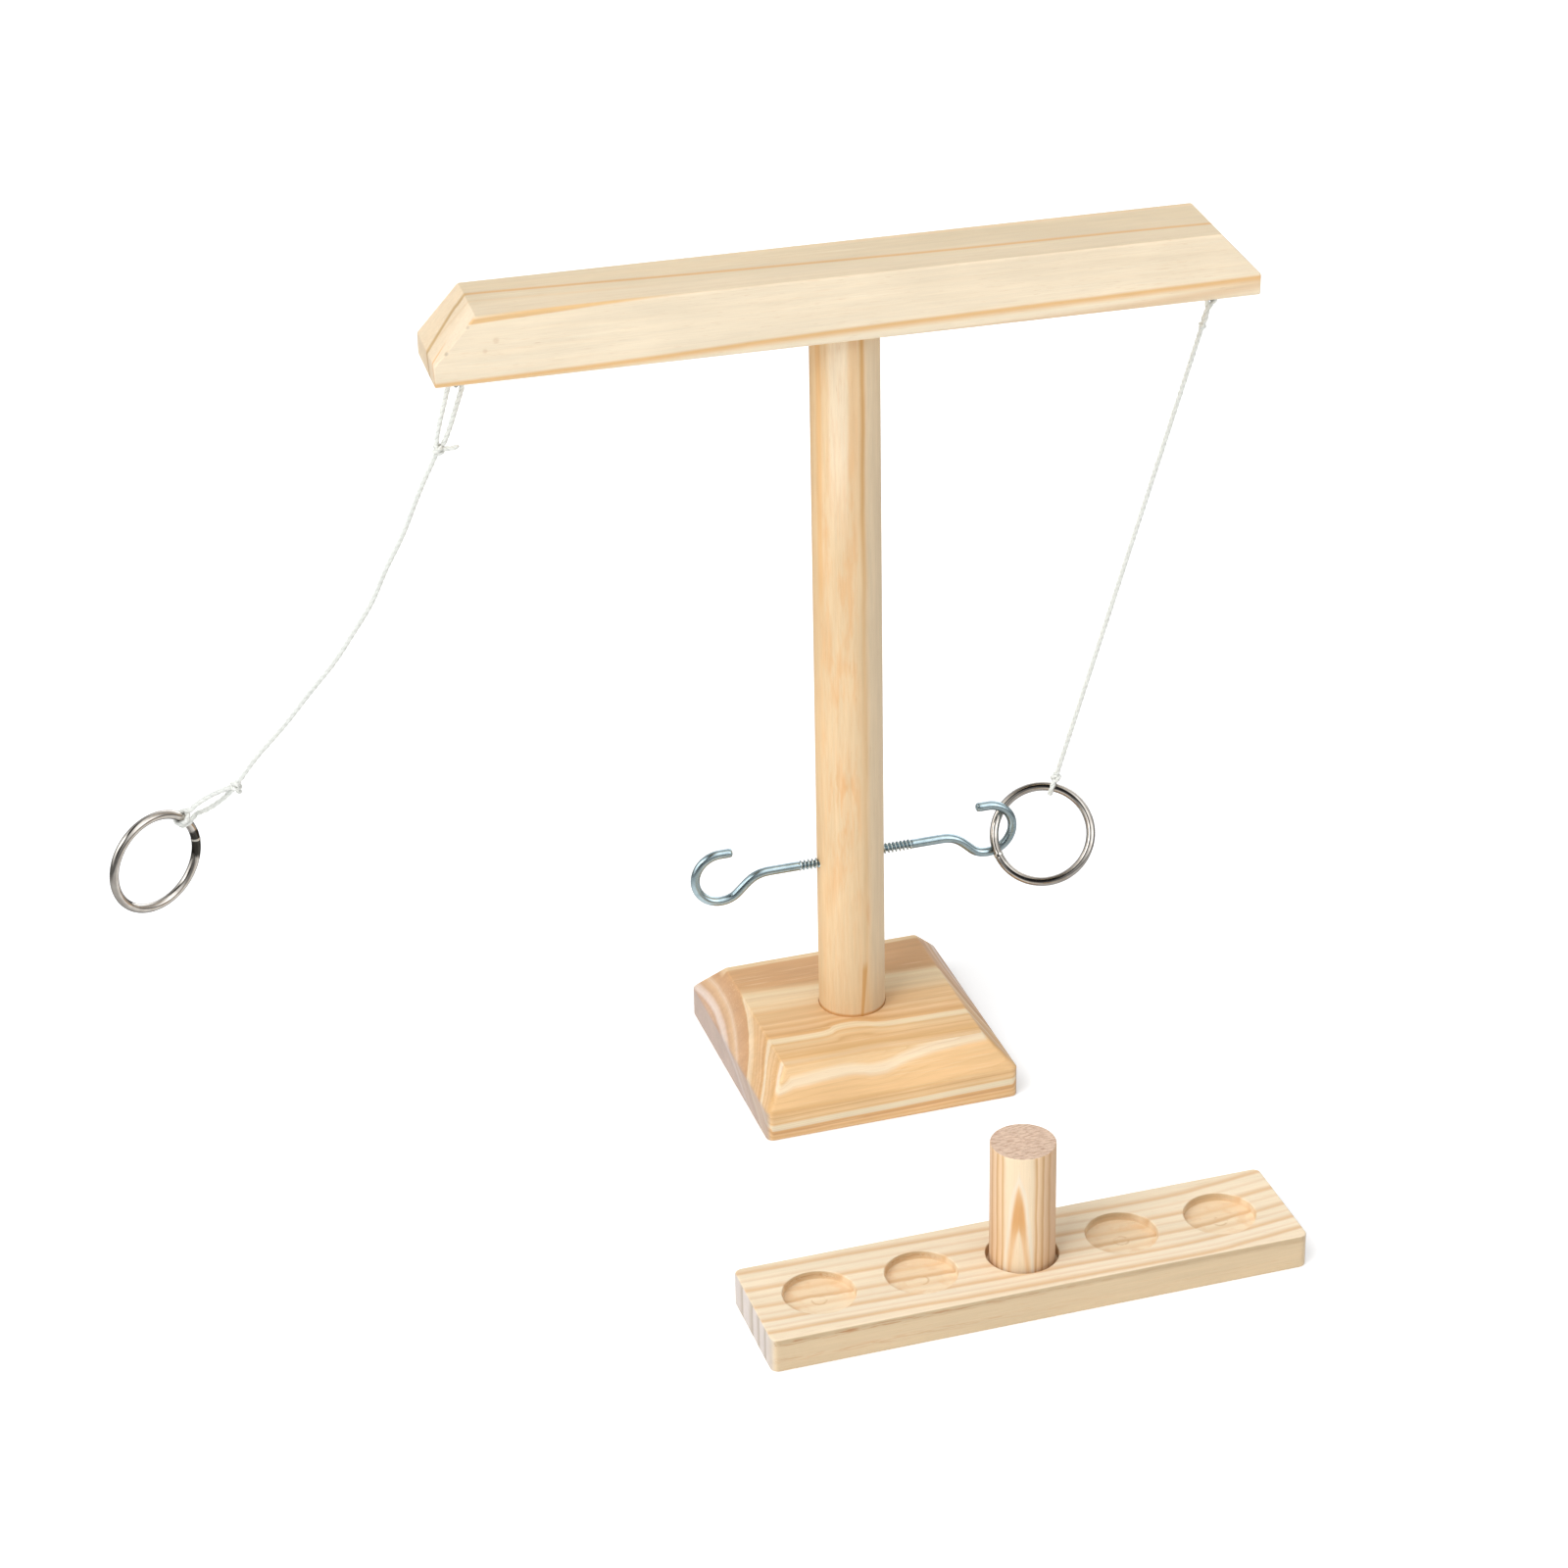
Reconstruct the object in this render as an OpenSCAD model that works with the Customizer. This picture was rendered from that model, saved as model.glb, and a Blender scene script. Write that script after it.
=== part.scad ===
// Ring toss game: a wooden stand with two screw hooks, two corded rings and a
// separate score board with a peg. Millimetres, +Z up, the origin is the centre
// of the base block's underside and the player looks along +Y.

/* [Base block] */
// Side of the square base block
base_side = 100; // [80:1:130]
// Height of the base block's upright sides
base_wall_h = 12; // [8:0.5:20]
// How far the sloping top band reaches in from each side
base_bevel_in = 10.7; // [6:0.1:16]
// Height of the sloping top band
base_bevel_h = 12; // [6:0.5:18]
// Rounding of the block's four upright corners
base_corner_r = 2.8; // [0.5:0.1:4]
// Depth of the socket that holds the post
base_socket = 16; // [10:0.5:18]
// Radial room for glue round the post and its tenon
glue_gap = 0.05; // [0:0.05:0.3]

/* [Post] */
// Diameter of the round post
post_d = 25.4; // [18:0.1:32]
// Height of the crossbar's underside over the table
post_top = 303; // [240:1:340]
// Diameter of the tenon on top of the post
tenon_d = 15; // [10:0.5:20]
// Length of the tenon inside the crossbar
tenon_len = 14; // [8:0.5:20]

/* [Crossbar] */
// Length of the crossbar
bar_len = 300; // [240:1:360]
// Depth of the crossbar from front to back
bar_depth = 34; // [28:0.5:45]
// Height of the crossbar
bar_h = 25; // [18:0.5:32]
// Length of the slope at each end, measured along the bar
bar_slope_run = 15.5; // [8:0.5:25]
// Height of the slope at each end
bar_slope_drop = 17; // [8:0.5:22]
// Small flat that eases the bar's four long edges
bar_ease = 1.2; // [0.4:0.1:3]
// How far the bar stands turned on the post, in degrees
bar_turn = -3.1; // [-6:0.1:6]

/* [Screw eyes] */
// Distance from the crossbar's left end to the left screw eye
left_eye_inset = 9.8; // [7:0.2:30]
// Distance from the crossbar's right end to the right screw eye
right_eye_inset = 12.6; // [7:0.2:30]
// Radius of the eye's ring, to the middle of the wire
eye_major_r = 2.6; // [2.2:0.1:4]
// Radius of the eye's wire
eye_wire_r = 0.7; // [0.5:0.05:1]
// Distance from the crossbar's underside down to the lower wire, where the cord hangs
eye_drop = 6.4; // [5.6:0.1:9]
// Radius of the eye's screw thread over its crests
eye_crest_r = 1.1; // [0.9:0.05:1.6]
// Radius of the eye's shank between the crests
eye_root_r = 0.85; // [0.6:0.05:1.2]
// How far the thread reaches into the crossbar
eye_thread_in = 9; // [6:0.5:14]
// Pitch of the eye's thread
eye_pitch = 1.2; // [0.9:0.1:1.8]

/* [Screw hooks] */
// Radius of the hook's wire
hook_wire_r = 1.7; // [1.2:0.1:2.4]
// Radius of the hook's open curl, to the middle of the wire
hook_curl_r = 10; // [8:0.25:13]
// Radius of the small reverse bend between curl and shank
hook_neck_r = 6; // [4:0.5:8]
// Length of the straight tip at the curl's mouth
hook_tip_len = 3.2; // [2:0.1:6]
// Distance from the curl's centre to the first thread crest
hook_thread_start = 30.3; // [26:0.1:36]
// Distance from the curl's centre to the screw's point
hook_len = 48.5; // [42:0.5:60]
// Radius of the thread over its crests
hook_crest_r = 1.75; // [1.4:0.05:2.4]
// Radius of the thread between its crests
hook_root_r = 1.25; // [0.9:0.05:2]
// Pitch of the hook's thread
hook_pitch = 1.5; // [1:0.1:2.2]
// Distance from the post's axis to the left curl's centre
left_hook_out = 51.2; // [45:0.1:60]
// Height of the left curl's centre
left_hook_z = 87.3; // [60:0.1:120]
// How far the left hook's shank lies under its curl's centre
left_hook_sag = 0.5; // [0:0.1:2]
// Distance from the post's axis to the right curl's centre
right_hook_out = 55.1; // [45:0.1:60]
// Height of the right curl's centre
right_hook_z = 89; // [60:0.1:120]
// How far the right hook's shank lies under its curl's centre
right_hook_sag = 1; // [0:0.1:2]

/* [Rings] */
// Outside diameter of each tossing ring
ring_d = 40; // [32:0.5:55]
// Diameter of the ring's wire
ring_wire_d = 3.2; // [2.4:0.1:5]
// Lean of the left ring's plane, from level, in degrees
left_ring_tilt = 93; // [0:1:120]
// Compass turn of the left ring's plane, in degrees
left_ring_turn = -63; // [-180:1:180]
// Where the cord holds the left ring, as an angle round the wire
left_hitch_at = 134; // [0:1:360]
// Lean of the right ring's plane, from level, in degrees
right_ring_tilt = 51; // [0:1:90]
// Compass turn of the right ring's plane, in degrees
right_ring_turn = -118; // [-180:1:180]
// Where the cord holds the right ring, as an angle round the wire
right_hitch_at = 173; // [0:1:360]

/* [Cords] */
// Diameter of the twisted cord
cord_d = 1.8; // [1.2:0.1:2.4]
// Diameter of each tied knot
knot_d = 3.8; // [3:0.1:6]
// Clear gap between a cord's end and the knot or cord it meets
cord_gap = 0.2; // [0.1:0.05:0.4]
// Distance from the eye's wire to the left top knot
left_top_drop = 25.3; // [20:0.1:40]
// Distance from the eye's wire to the right top knot
right_top_drop = 10.5; // [8:0.1:40]
// Distance from the right ring's wire to its knot
right_knot_up = 4.4; // [4:0.1:20]

/* [Score board] */
// Length of the score board
board_len = 200; // [150:1:260]
// Width of the score board
board_w = 46; // [36:0.5:60]
// Thickness of the score board
board_h = 13.2; // [10:0.1:18]
// Rounding of the board's upright corners
board_corner_r = 3; // [0.5:0.5:5]
// Sideways place of the board's middle
board_x = 8; // [-40:1:40]
// Distance from the post to the board's middle, towards the player
board_y = 167; // [120:1:220]
// Spacing of the round recesses
recess_pitch = 37.7; // [30:0.1:45]
// Diameter of each round recess
recess_d = 26; // [22:0.1:34]
// Depth of each round recess
recess_depth = 3.5; // [2:0.1:6]

/* [Score peg] */
// Diameter of the score peg
peg_d = 23.4; // [18:0.1:30]
// Length of the score peg
peg_len = 50; // [35:0.5:70]
// Small slope that eases the peg's end edges
peg_ease = 0.5; // [0.2:0.1:1.5]

/* [Hidden] */
$fn = 96;
tiny = 0.03;
bend_lap = 0.15;
base_h = base_wall_h + base_bevel_h;
eye_low_z = post_top - eye_drop;
left_eye_out = bar_len / 2 - left_eye_inset;
right_eye_out = bar_len / 2 - right_eye_inset;
post_r = post_d / 2;
post_foot = base_h - base_socket;
bar_half = bar_len / 2;
bar_half_y = bar_depth / 2;
thread_len = hook_len - hook_thread_start;
hook_crests = floor((thread_len - 3) / hook_pitch);
eye_crests = floor((eye_thread_in - 2) / eye_pitch);
ring_wire_r = ring_wire_d / 2;
ring_major_r = ring_d / 2 - ring_wire_r;
cord_r = cord_d / 2;
knot_r = knot_d / 2;
cord_sides = 8;
peg_z = board_h - recess_depth;
pilot_tip_room = 0.5;

// places that turn with the crossbar
function on_bar(out) = [out * cos(bar_turn), out * sin(bar_turn)];
left_eye_xy = on_bar(-left_eye_out);
right_eye_xy = on_bar(right_eye_out);
left_pivot = [left_eye_xy.x, left_eye_xy.y, eye_low_z];
right_pivot = [right_eye_xy.x, right_eye_xy.y, eye_low_z];

// places of the two rings: one swung out from its eye, one caught on its hook
left_ring_c = left_pivot + [-118.4, 12.5, -174.6];
right_ring_c = [right_hook_out + 19.6, -7.2, right_hook_z - 2];
function unit(v) = v / norm(v);
function ring_ex(t, a) = [cos(t) * cos(a), cos(t) * sin(a), -sin(t)];
function ring_ey(a) = [-sin(a), cos(a), 0];
function ring_at(c, t, a, g) = c + ring_major_r * (cos(g) * ring_ex(t, a) + sin(g) * ring_ey(a));
left_hitch = ring_at(left_ring_c, left_ring_tilt, left_ring_turn, left_hitch_at);
right_hitch = ring_at(right_ring_c, right_ring_tilt, right_ring_turn, right_hitch_at);

// hand-chosen places along the left cord, counted from its eye
function below_eye(p) = [for (q = p) left_pivot + q];
left_knot_1 = left_pivot + left_top_drop * unit([-0.275, 0.091, -0.956]);
left_flex = left_pivot + [-33.5, 7.5, -82];
left_knot_2 = left_pivot + [-86.5, 14.5, -150];
left_high = below_eye([[-14, 3.5, -39], [-21, 5, -56], [-27.5, 6.5, -69]]);
left_low_a = below_eye([[-40.5, 8.5, -93], [-48, 9.5, -104], [-57.5, 11, -115.5]]);
left_low_b = below_eye([[-67.5, 12, -127.5], [-78, 13.5, -139]]);

// the right cord runs straight from its eye to its ring
right_run = unit(right_pivot - right_hitch);
right_knot_1 = right_pivot - right_top_drop * right_run;
right_knot_2 = right_hitch + right_knot_up * right_run;

// half outlines of the cord's loops: sideways, along
left_top_half = [[0.95, -23], [1.15, -17], [1.6, -10], [2.1, -4], [2.4, -1], [2.1, 1.1], [1.2, 1.9]];
right_top_half = [[0.95, -8.2], [1, -6], [1.2, -4], [1.6, -2.2], [2, -0.6], [1.9, 0.9], [1.1, 1.9]];
left_ring_half = [[0.95, 20.9], [2, 17.5], [2.9, 13], [3.2, 8], [3.2, 3], [3.05, 0.6], [2.5, -1.6],
  [1.3, -2.8]];
right_ring_half = [[1.8, 2.4], [2.8, 1], [2.95, -0.4], [2.5, -1.6], [1.4, -2.7]];
top_of_loop = 2.2;
ring_loop_end = -3;

// smooth path through chosen points
function mixed(a, b, c, d, t) = 0.5 * (2 * b + (c - a) * t + (2 * a - 5 * b + 4 * c - d) * t * t
  + (3 * b - a - 3 * c + d) * t * t * t);
function step_at(p, i, t) = mixed(p[max(i - 1, 0)], p[i], p[i + 1], p[min(i + 2, len(p) - 1)], t);
function smooth(p, k) = concat([for (i = [0:len(p) - 2]) for (j = [0:k - 1]) step_at(p, i, j / k)],
  [p[len(p) - 1]]);
function along(p, i) = unit(p[min(i + 1, len(p) - 1)] - p[max(i - 1, 0)]);
function whole_loop(half, top) = concat(half, [[0, top]],
  [for (i = [len(half) - 1:-1:0]) [-half[i].x, half[i].y]]);
function placed(loop, c, side, up) = [for (q = loop) c + q.x * side + q.y * up];
function moved_end(a, b, room) = a + room * unit(b - a);

module tube(path, ref) {
  n = cord_sides;
  m = len(path);
  pts = [for (i = [0:m - 1])
    let (t = along(path, i), x = unit(cross(ref, t)), y = cross(t, x))
    for (j = [0:n - 1])
    path[i] + cord_r * (cos(j * 360 / n) * x + sin(j * 360 / n) * y)];
  sides_a = [for (i = [0:m - 2]) for (j = [0:n - 1])
    [i * n + j, (i + 1) * n + j, i * n + (j + 1) % n]];
  sides_b = [for (i = [0:m - 2]) for (j = [0:n - 1])
    [i * n + (j + 1) % n, (i + 1) * n + j, (i + 1) * n + (j + 1) % n]];
  first = [[for (j = [0:n - 1]) j]];
  last = [[for (j = [n - 1:-1:0]) (m - 1) * n + j]];
  polyhedron(points = pts, faces = concat(sides_a, sides_b, first, last));
}

module rounded_block(x, y, h, r) {
  translate([-x / 2 + r, -y / 2, 0]) cube([x - 2 * r, y, h]);
  translate([-x / 2, -y / 2 + r, 0]) cube([x, y - 2 * r, h]);
  for (sx = [-1, 1]) for (sy = [-1, 1])
    translate([sx * (x / 2 - r), sy * (y / 2 - r), 0]) cylinder(r = r, h = h);
}

// Base block
module base_block() {
  half = base_side / 2;
  inner = half - base_bevel_in;
  outline = [[-half, 0], [half, 0], [half, base_wall_h], [inner, base_h], [-inner, base_h],
    [-half, base_wall_h]];
  color([0.85, 0.66, 0.43])
  difference() {
    intersection() {
      rounded_block(base_side, base_side, base_h, base_corner_r);
      translate([0, half, 0]) rotate([90, 0, 0]) linear_extrude(base_side) polygon(outline);
      translate([-half, 0, 0]) rotate([90, 0, 90]) linear_extrude(base_side) polygon(outline);
    }
    translate([0, 0, post_foot]) cylinder(r = post_r + glue_gap, h = base_h);
  }
}

// Post with its tenon and the two pilot holes
module post() {
  left_room = hook_len - left_hook_out + pilot_tip_room;
  right_room = right_hook_out - hook_len - pilot_tip_room;
  color([0.93, 0.83, 0.64])
  difference() {
    union() {
      translate([0, 0, post_foot]) cylinder(r = post_r, h = post_top - post_foot);
      translate([0, 0, post_top]) cylinder(r = tenon_d / 2, h = tenon_len);
    }
    translate([left_room, 0, left_hook_z - left_hook_sag]) rotate([0, -90, 0])
      cylinder(r = hook_crest_r, h = post_d);
    translate([right_room, 0, right_hook_z - right_hook_sag]) rotate([0, 90, 0])
      cylinder(r = hook_crest_r, h = post_d);
  }
}

// Crossbar with sloped ends, the tenon's socket and two pilot holes
module crossbar() {
  front = [[-bar_half, 0], [bar_half, 0], [bar_half, bar_h - bar_slope_drop],
    [bar_half - bar_slope_run, bar_h], [-bar_half + bar_slope_run, bar_h],
    [-bar_half, bar_h - bar_slope_drop]];
  y1 = bar_half_y;
  y0 = bar_half_y - bar_ease;
  cross_cut = [[-y0, 0], [y0, 0], [y1, bar_ease], [y1, bar_h - bar_ease], [y0, bar_h],
    [-y0, bar_h], [-y1, bar_h - bar_ease], [-y1, bar_ease]];
  color([0.95, 0.87, 0.71])
  translate([0, 0, post_top]) rotate([0, 0, bar_turn])
  difference() {
    intersection() {
      translate([0, bar_half_y, 0]) rotate([90, 0, 0]) linear_extrude(bar_depth) polygon(front);
      translate([-bar_half, 0, 0]) rotate([90, 0, 90]) linear_extrude(bar_len) polygon(cross_cut);
    }
    translate([0, 0, -1]) cylinder(r = tenon_d / 2 + glue_gap, h = tenon_len + 1.5);
    translate([-left_eye_out, 0, -1]) cylinder(r = eye_crest_r, h = eye_thread_in + 1.5);
    translate([right_eye_out, 0, -1]) cylinder(r = eye_crest_r, h = eye_thread_in + 1.5);
  }
}

// crests turned as one profile, thread start at zero, point at the far end
module turned_thread(crest, root, count, pitch, lead, length) {
  ridge = [for (i = [0:count - 1]) for (q = [[root, 0], [crest, 0.4], [crest, 0.5], [root, 0.9]])
    [q.x, lead + i * pitch + q.y * pitch]];
  rotate_extrude() polygon(concat([[0, 0], [root, 0]], ridge, [[root, length - 2.4], [0.15, length],
    [0, length]]));
}

module screw_hook(sag) {
  s = sqrt(0.5);
  curl = hook_curl_r;
  neck = hook_neck_r;
  run = ((neck - neck * s + sag) * -1 + curl * s) / s;
  neck_x = -curl * s - run * s - neck * s;
  neck_z = -sag - neck;
  // curl from the mouth at the top, round the outer side, to the lower inner side
  rotate([90, 0, 0]) rotate([0, 0, -135]) rotate_extrude(angle = 225)
    translate([curl, 0]) circle(r = hook_wire_r);
  translate([bend_lap, 0, curl]) rotate([0, -90, 0])
    cylinder(r = hook_wire_r - tiny, h = hook_tip_len + bend_lap);
  translate([-hook_tip_len, 0, curl]) sphere(r = hook_wire_r - tiny);
  // slanted straight, set a little way into the bends at its ends
  translate([-curl * s, 0, -curl * s]) rotate([0, -45, 0]) translate([0, 0, -bend_lap])
    cylinder(r = hook_wire_r - tiny, h = run + 2 * bend_lap);
  // reverse bend down to the shank
  translate([neck_x, 0, neck_z]) rotate([90, 0, 0]) rotate([0, 0, 45]) rotate_extrude(angle = 45)
    translate([neck, 0]) circle(r = hook_wire_r);
  // plain shank and thread
  translate([neck_x + bend_lap, 0, -sag]) rotate([0, -90, 0])
    cylinder(r = hook_wire_r - tiny, h = hook_thread_start + neck_x + bend_lap);
  translate([-hook_thread_start, 0, -sag]) rotate([0, -90, 0])
    turned_thread(hook_crest_r, hook_root_r, hook_crests, hook_pitch, 0.3, thread_len);
}

// Left screw hook
module left_hook() {
  color([0.62, 0.66, 0.7])
  translate([-left_hook_out, 0, left_hook_z]) mirror([1, 0, 0]) screw_hook(left_hook_sag);
}

// Right screw hook
module right_hook() {
  color([0.62, 0.66, 0.7])
  translate([right_hook_out, 0, right_hook_z]) screw_hook(right_hook_sag);
}

module screw_eye() {
  top_z = eye_low_z + 2 * eye_major_r;
  translate([0, 0, eye_low_z + eye_major_r]) rotate([0, 90, 0]) rotate_extrude()
    translate([eye_major_r, 0]) circle(r = eye_wire_r);
  translate([0, 0, top_z]) cylinder(r = eye_root_r, h = post_top - top_z);
  translate([0, 0, post_top])
    turned_thread(eye_crest_r, eye_root_r, eye_crests, eye_pitch, 0.2, eye_thread_in);
}

// Left screw eye
module left_eye() {
  color([0.7, 0.66, 0.55])
  translate([left_pivot.x, left_pivot.y, 0]) rotate([0, 0, bar_turn]) screw_eye();
}

// Right screw eye
module right_eye() {
  color([0.7, 0.66, 0.55])
  translate([right_pivot.x, right_pivot.y, 0]) rotate([0, 0, bar_turn]) screw_eye();
}

// Left top loop: the bight that hangs on the eye
module left_top_loop() {
  up = unit(left_pivot - left_knot_1);
  side = unit(cross([0, 1, 0], up));
  path = smooth(placed(whole_loop(left_top_half, top_of_loop), left_pivot, side, up), 2);
  color([0.93, 0.92, 0.88]) tube(path, unit(cross(up, side)));
}

// Left top knot
module left_top_knot() {
  color([0.93, 0.92, 0.88]) translate(left_knot_1) sphere(r = knot_r);
}

// Left cord, upper half
module left_string_upper() {
  head = moved_end(left_knot_1, left_high[0], knot_r + cord_gap);
  tail = moved_end(left_flex, left_high[2], cord_gap);
  color([0.93, 0.92, 0.88]) tube(smooth(concat([head], left_high, [tail]), 3), [0, 1, 0]);
}

// Left cord, lower half
module left_string_lower() {
  head = moved_end(left_flex, left_low_a[0], cord_gap);
  tail = moved_end(left_knot_2, left_low_b[1], knot_r + cord_gap);
  color([0.93, 0.92, 0.88])
  tube(smooth(concat([head], left_low_a, left_low_b, [tail]), 3), [0, 1, 0]);
}

// Left ring knot
module left_ring_knot() {
  color([0.93, 0.92, 0.88]) translate(left_knot_2) sphere(r = knot_r);
}

// Left ring loop: the bight that holds the ring
module left_ring_loop() {
  up = unit(left_knot_2 - left_hitch);
  spoke = unit(left_hitch - left_ring_c);
  plane = cross(ring_ex(left_ring_tilt, left_ring_turn), ring_ey(left_ring_turn));
  side = unit(cross(cross(plane, spoke), up));
  path = smooth(placed(whole_loop(left_ring_half, ring_loop_end), left_hitch, side, up), 2);
  color([0.93, 0.92, 0.88]) tube(path, unit(cross(up, side)));
}

// Left tossing ring
module left_ring() {
  color([0.78, 0.78, 0.76])
  translate(left_ring_c) rotate([0, left_ring_tilt, left_ring_turn]) rotate_extrude()
    translate([ring_major_r, 0]) circle(r = ring_wire_r);
}

// Right top loop: the short bight in the right eye
module right_top_loop() {
  side = unit(cross([0, 1, 0], right_run));
  path = smooth(placed(whole_loop(right_top_half, top_of_loop), right_pivot, side, right_run), 2);
  color([0.93, 0.92, 0.88]) tube(path, unit(cross(right_run, side)));
}

// Right top knot
module right_top_knot() {
  color([0.93, 0.92, 0.88]) translate(right_knot_1) sphere(r = knot_r);
}

// Right cord
module right_string() {
  head = moved_end(right_knot_1, right_knot_2, knot_r + cord_gap);
  tail = moved_end(right_knot_2, right_knot_1, knot_r + cord_gap);
  color([0.93, 0.92, 0.88]) tube(smooth([head, tail], 14), [0, 1, 0]);
}

// Right ring knot
module right_ring_knot() {
  color([0.93, 0.92, 0.88]) translate(right_knot_2) sphere(r = knot_r);
}

// Right ring loop: the bight that holds the caught ring
module right_ring_loop() {
  spoke = unit(right_hitch - right_ring_c);
  plane = cross(ring_ex(right_ring_tilt, right_ring_turn), ring_ey(right_ring_turn));
  side = unit(cross(cross(plane, spoke), right_run));
  path = smooth(placed(whole_loop(right_ring_half, ring_loop_end), right_hitch, side, right_run), 2);
  color([0.93, 0.92, 0.88]) tube(path, unit(cross(right_run, side)));
}

// Right tossing ring, caught on its hook
module right_ring() {
  color([0.78, 0.78, 0.76])
  translate(right_ring_c) rotate([0, right_ring_tilt, right_ring_turn]) rotate_extrude()
    translate([ring_major_r, 0]) circle(r = ring_wire_r);
}

// Score board with five round recesses
module ladder_board() {
  color([0.93, 0.83, 0.64])
  translate([board_x, -board_y, 0])
  difference() {
    rounded_block(board_len, board_w, board_h, board_corner_r);
    for (i = [-2:2]) translate([i * recess_pitch, 0, peg_z]) cylinder(d = recess_d, h = board_h);
  }
}

// Score peg standing in the middle recess
module score_peg() {
  r = peg_d / 2;
  color([0.93, 0.81, 0.6])
  translate([board_x, -board_y, peg_z])
  rotate_extrude() polygon([[0, 0], [r - peg_ease, 0], [r, peg_ease], [r, peg_len - peg_ease],
    [r - peg_ease, peg_len], [0, peg_len]]);
}

base_block();
post();
crossbar();
left_hook();
right_hook();
left_eye();
right_eye();
left_top_loop();
left_top_knot();
left_string_upper();
left_string_lower();
left_ring_knot();
left_ring_loop();
left_ring();
right_top_loop();
right_top_knot();
right_string();
right_ring_knot();
right_ring_loop();
right_ring();
ladder_board();
score_peg();
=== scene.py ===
from math import atan2, cos, exp, hypot, pi, radians, sin, sqrt

import bmesh
import bpy
from mathutils import Matrix, Vector


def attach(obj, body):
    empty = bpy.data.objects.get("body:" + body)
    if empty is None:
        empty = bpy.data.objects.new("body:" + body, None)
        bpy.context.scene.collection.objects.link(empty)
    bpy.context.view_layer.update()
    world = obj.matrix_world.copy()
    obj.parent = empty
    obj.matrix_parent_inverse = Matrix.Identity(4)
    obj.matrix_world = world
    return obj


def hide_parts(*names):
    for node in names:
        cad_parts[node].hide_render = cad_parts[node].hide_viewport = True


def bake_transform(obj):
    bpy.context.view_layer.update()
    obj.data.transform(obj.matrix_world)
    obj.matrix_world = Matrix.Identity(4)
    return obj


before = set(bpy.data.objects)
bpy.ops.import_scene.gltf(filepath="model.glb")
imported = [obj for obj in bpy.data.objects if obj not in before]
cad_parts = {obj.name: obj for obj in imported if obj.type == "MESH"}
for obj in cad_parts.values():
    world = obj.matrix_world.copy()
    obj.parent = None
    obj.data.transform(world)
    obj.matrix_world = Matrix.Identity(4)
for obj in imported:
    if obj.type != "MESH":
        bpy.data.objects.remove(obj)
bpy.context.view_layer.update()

MM = 0.001
TAU = 2 * pi
DEGREES = 57.2958  # in one radian


def new_object(name, data):
    made = bpy.data.objects.new(name, data)
    bpy.context.scene.collection.objects.link(made)
    return made


# camera ------------

def make_camera():
    """The photograph's viewpoint, fitted to the stand's known corners."""
    data = bpy.data.cameras.new("photo_camera")
    data.lens = 97.5668
    data.sensor_width = 36
    data.clip_start = 0.05
    data.clip_end = 60
    right = (0.95359922, -0.30056492, -0.01758585)
    up = (0.15655231, 0.44510492, 0.88168758)
    back = (-0.25717681, -0.84352969, 0.47150583)
    place = (-0.43302, -1.336145, 0.86957)
    camera = new_object("photo_camera", data)
    camera.matrix_world = (Matrix.Translation(place)
                           @ Matrix((right, up, back)).transposed().to_4x4())
    bpy.context.scene.camera = camera


make_camera()


# shared numbers, millimetres ------------

BASE_SIDE = 100
BASE_WALL = 12
BASE_HIGH = 24
BASE_BEVEL_IN = 10.7
BASE_CORNER = 2.8
POST_R = 12.7
POST_FOOT = 8
POST_TOP = 303
TENON_R = 7.5
TENON_LEN = 14
BAR_LEN = 300
BAR_DEEP = 34
BAR_HIGH = 25
BAR_RUN = 15.5
BAR_DROP = 17
BAR_EASE = 1.2
BAR_END_EASE = 0.45
BAR_TURN = radians(-3.1)
EYE_R = 2.6
EYE_WIRE = 0.7
EYE_LOW = 296.6
EYE_ROOT = 0.85
EYE_CREST = 1.08
EYE_PITCH = 1.2
EYE_SCREW = 9
HOOK_WIRE = 1.7
HOOK_CURL = 10
HOOK_NECK = 6
HOOK_THREAD = 30.3
HOOK_LEN = 48.5
HOOK_CREST = 2.0
HOOK_ROOT = 1.05
HOOK_PITCH = 1.5
THREAD_TIP = 0.12
LEFT_HOOK = (-51.2, 0, 87.3)
RIGHT_HOOK = (55.1, 0, 89)
RING_MAJOR = 18.4
RING_WIRE = 1.6
RING_FULL = 0.08  # the wire is drawn this much thicker, outwards
BOARD_LEN = 200
BOARD_WIDE = 46
BOARD_HIGH = 13.2
BOARD_CORNER = 3
BOARD_X = 8
BOARD_Y = -167
RECESS_PITCH = 37.7
RECESS_R = 13
RECESS_DEEP = 3.5
PEG_R = 11.7
PEG_LEN = 50
PEG_EASE = 0.5
PEG_Z = BOARD_HIGH - RECESS_DEEP


def on_bar(out, height):
    """A point on the crossbar's middle line, out millimetres from the post."""
    return Vector((out * cos(BAR_TURN), out * sin(BAR_TURN), height))


def ring_axes(tilt, turn):
    """The two directions in a ring's plane and its axis."""
    t, a = radians(tilt), radians(turn)
    across = Vector((cos(t) * cos(a), cos(t) * sin(a), -sin(t)))
    along = Vector((-sin(a), cos(a), 0))
    return across, along, across.cross(along)


def on_ring(centre, lay, at):
    across, along, _ = ring_axes(*lay)
    g = radians(at)
    return centre + RING_MAJOR * (cos(g) * across + sin(g) * along)


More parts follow.
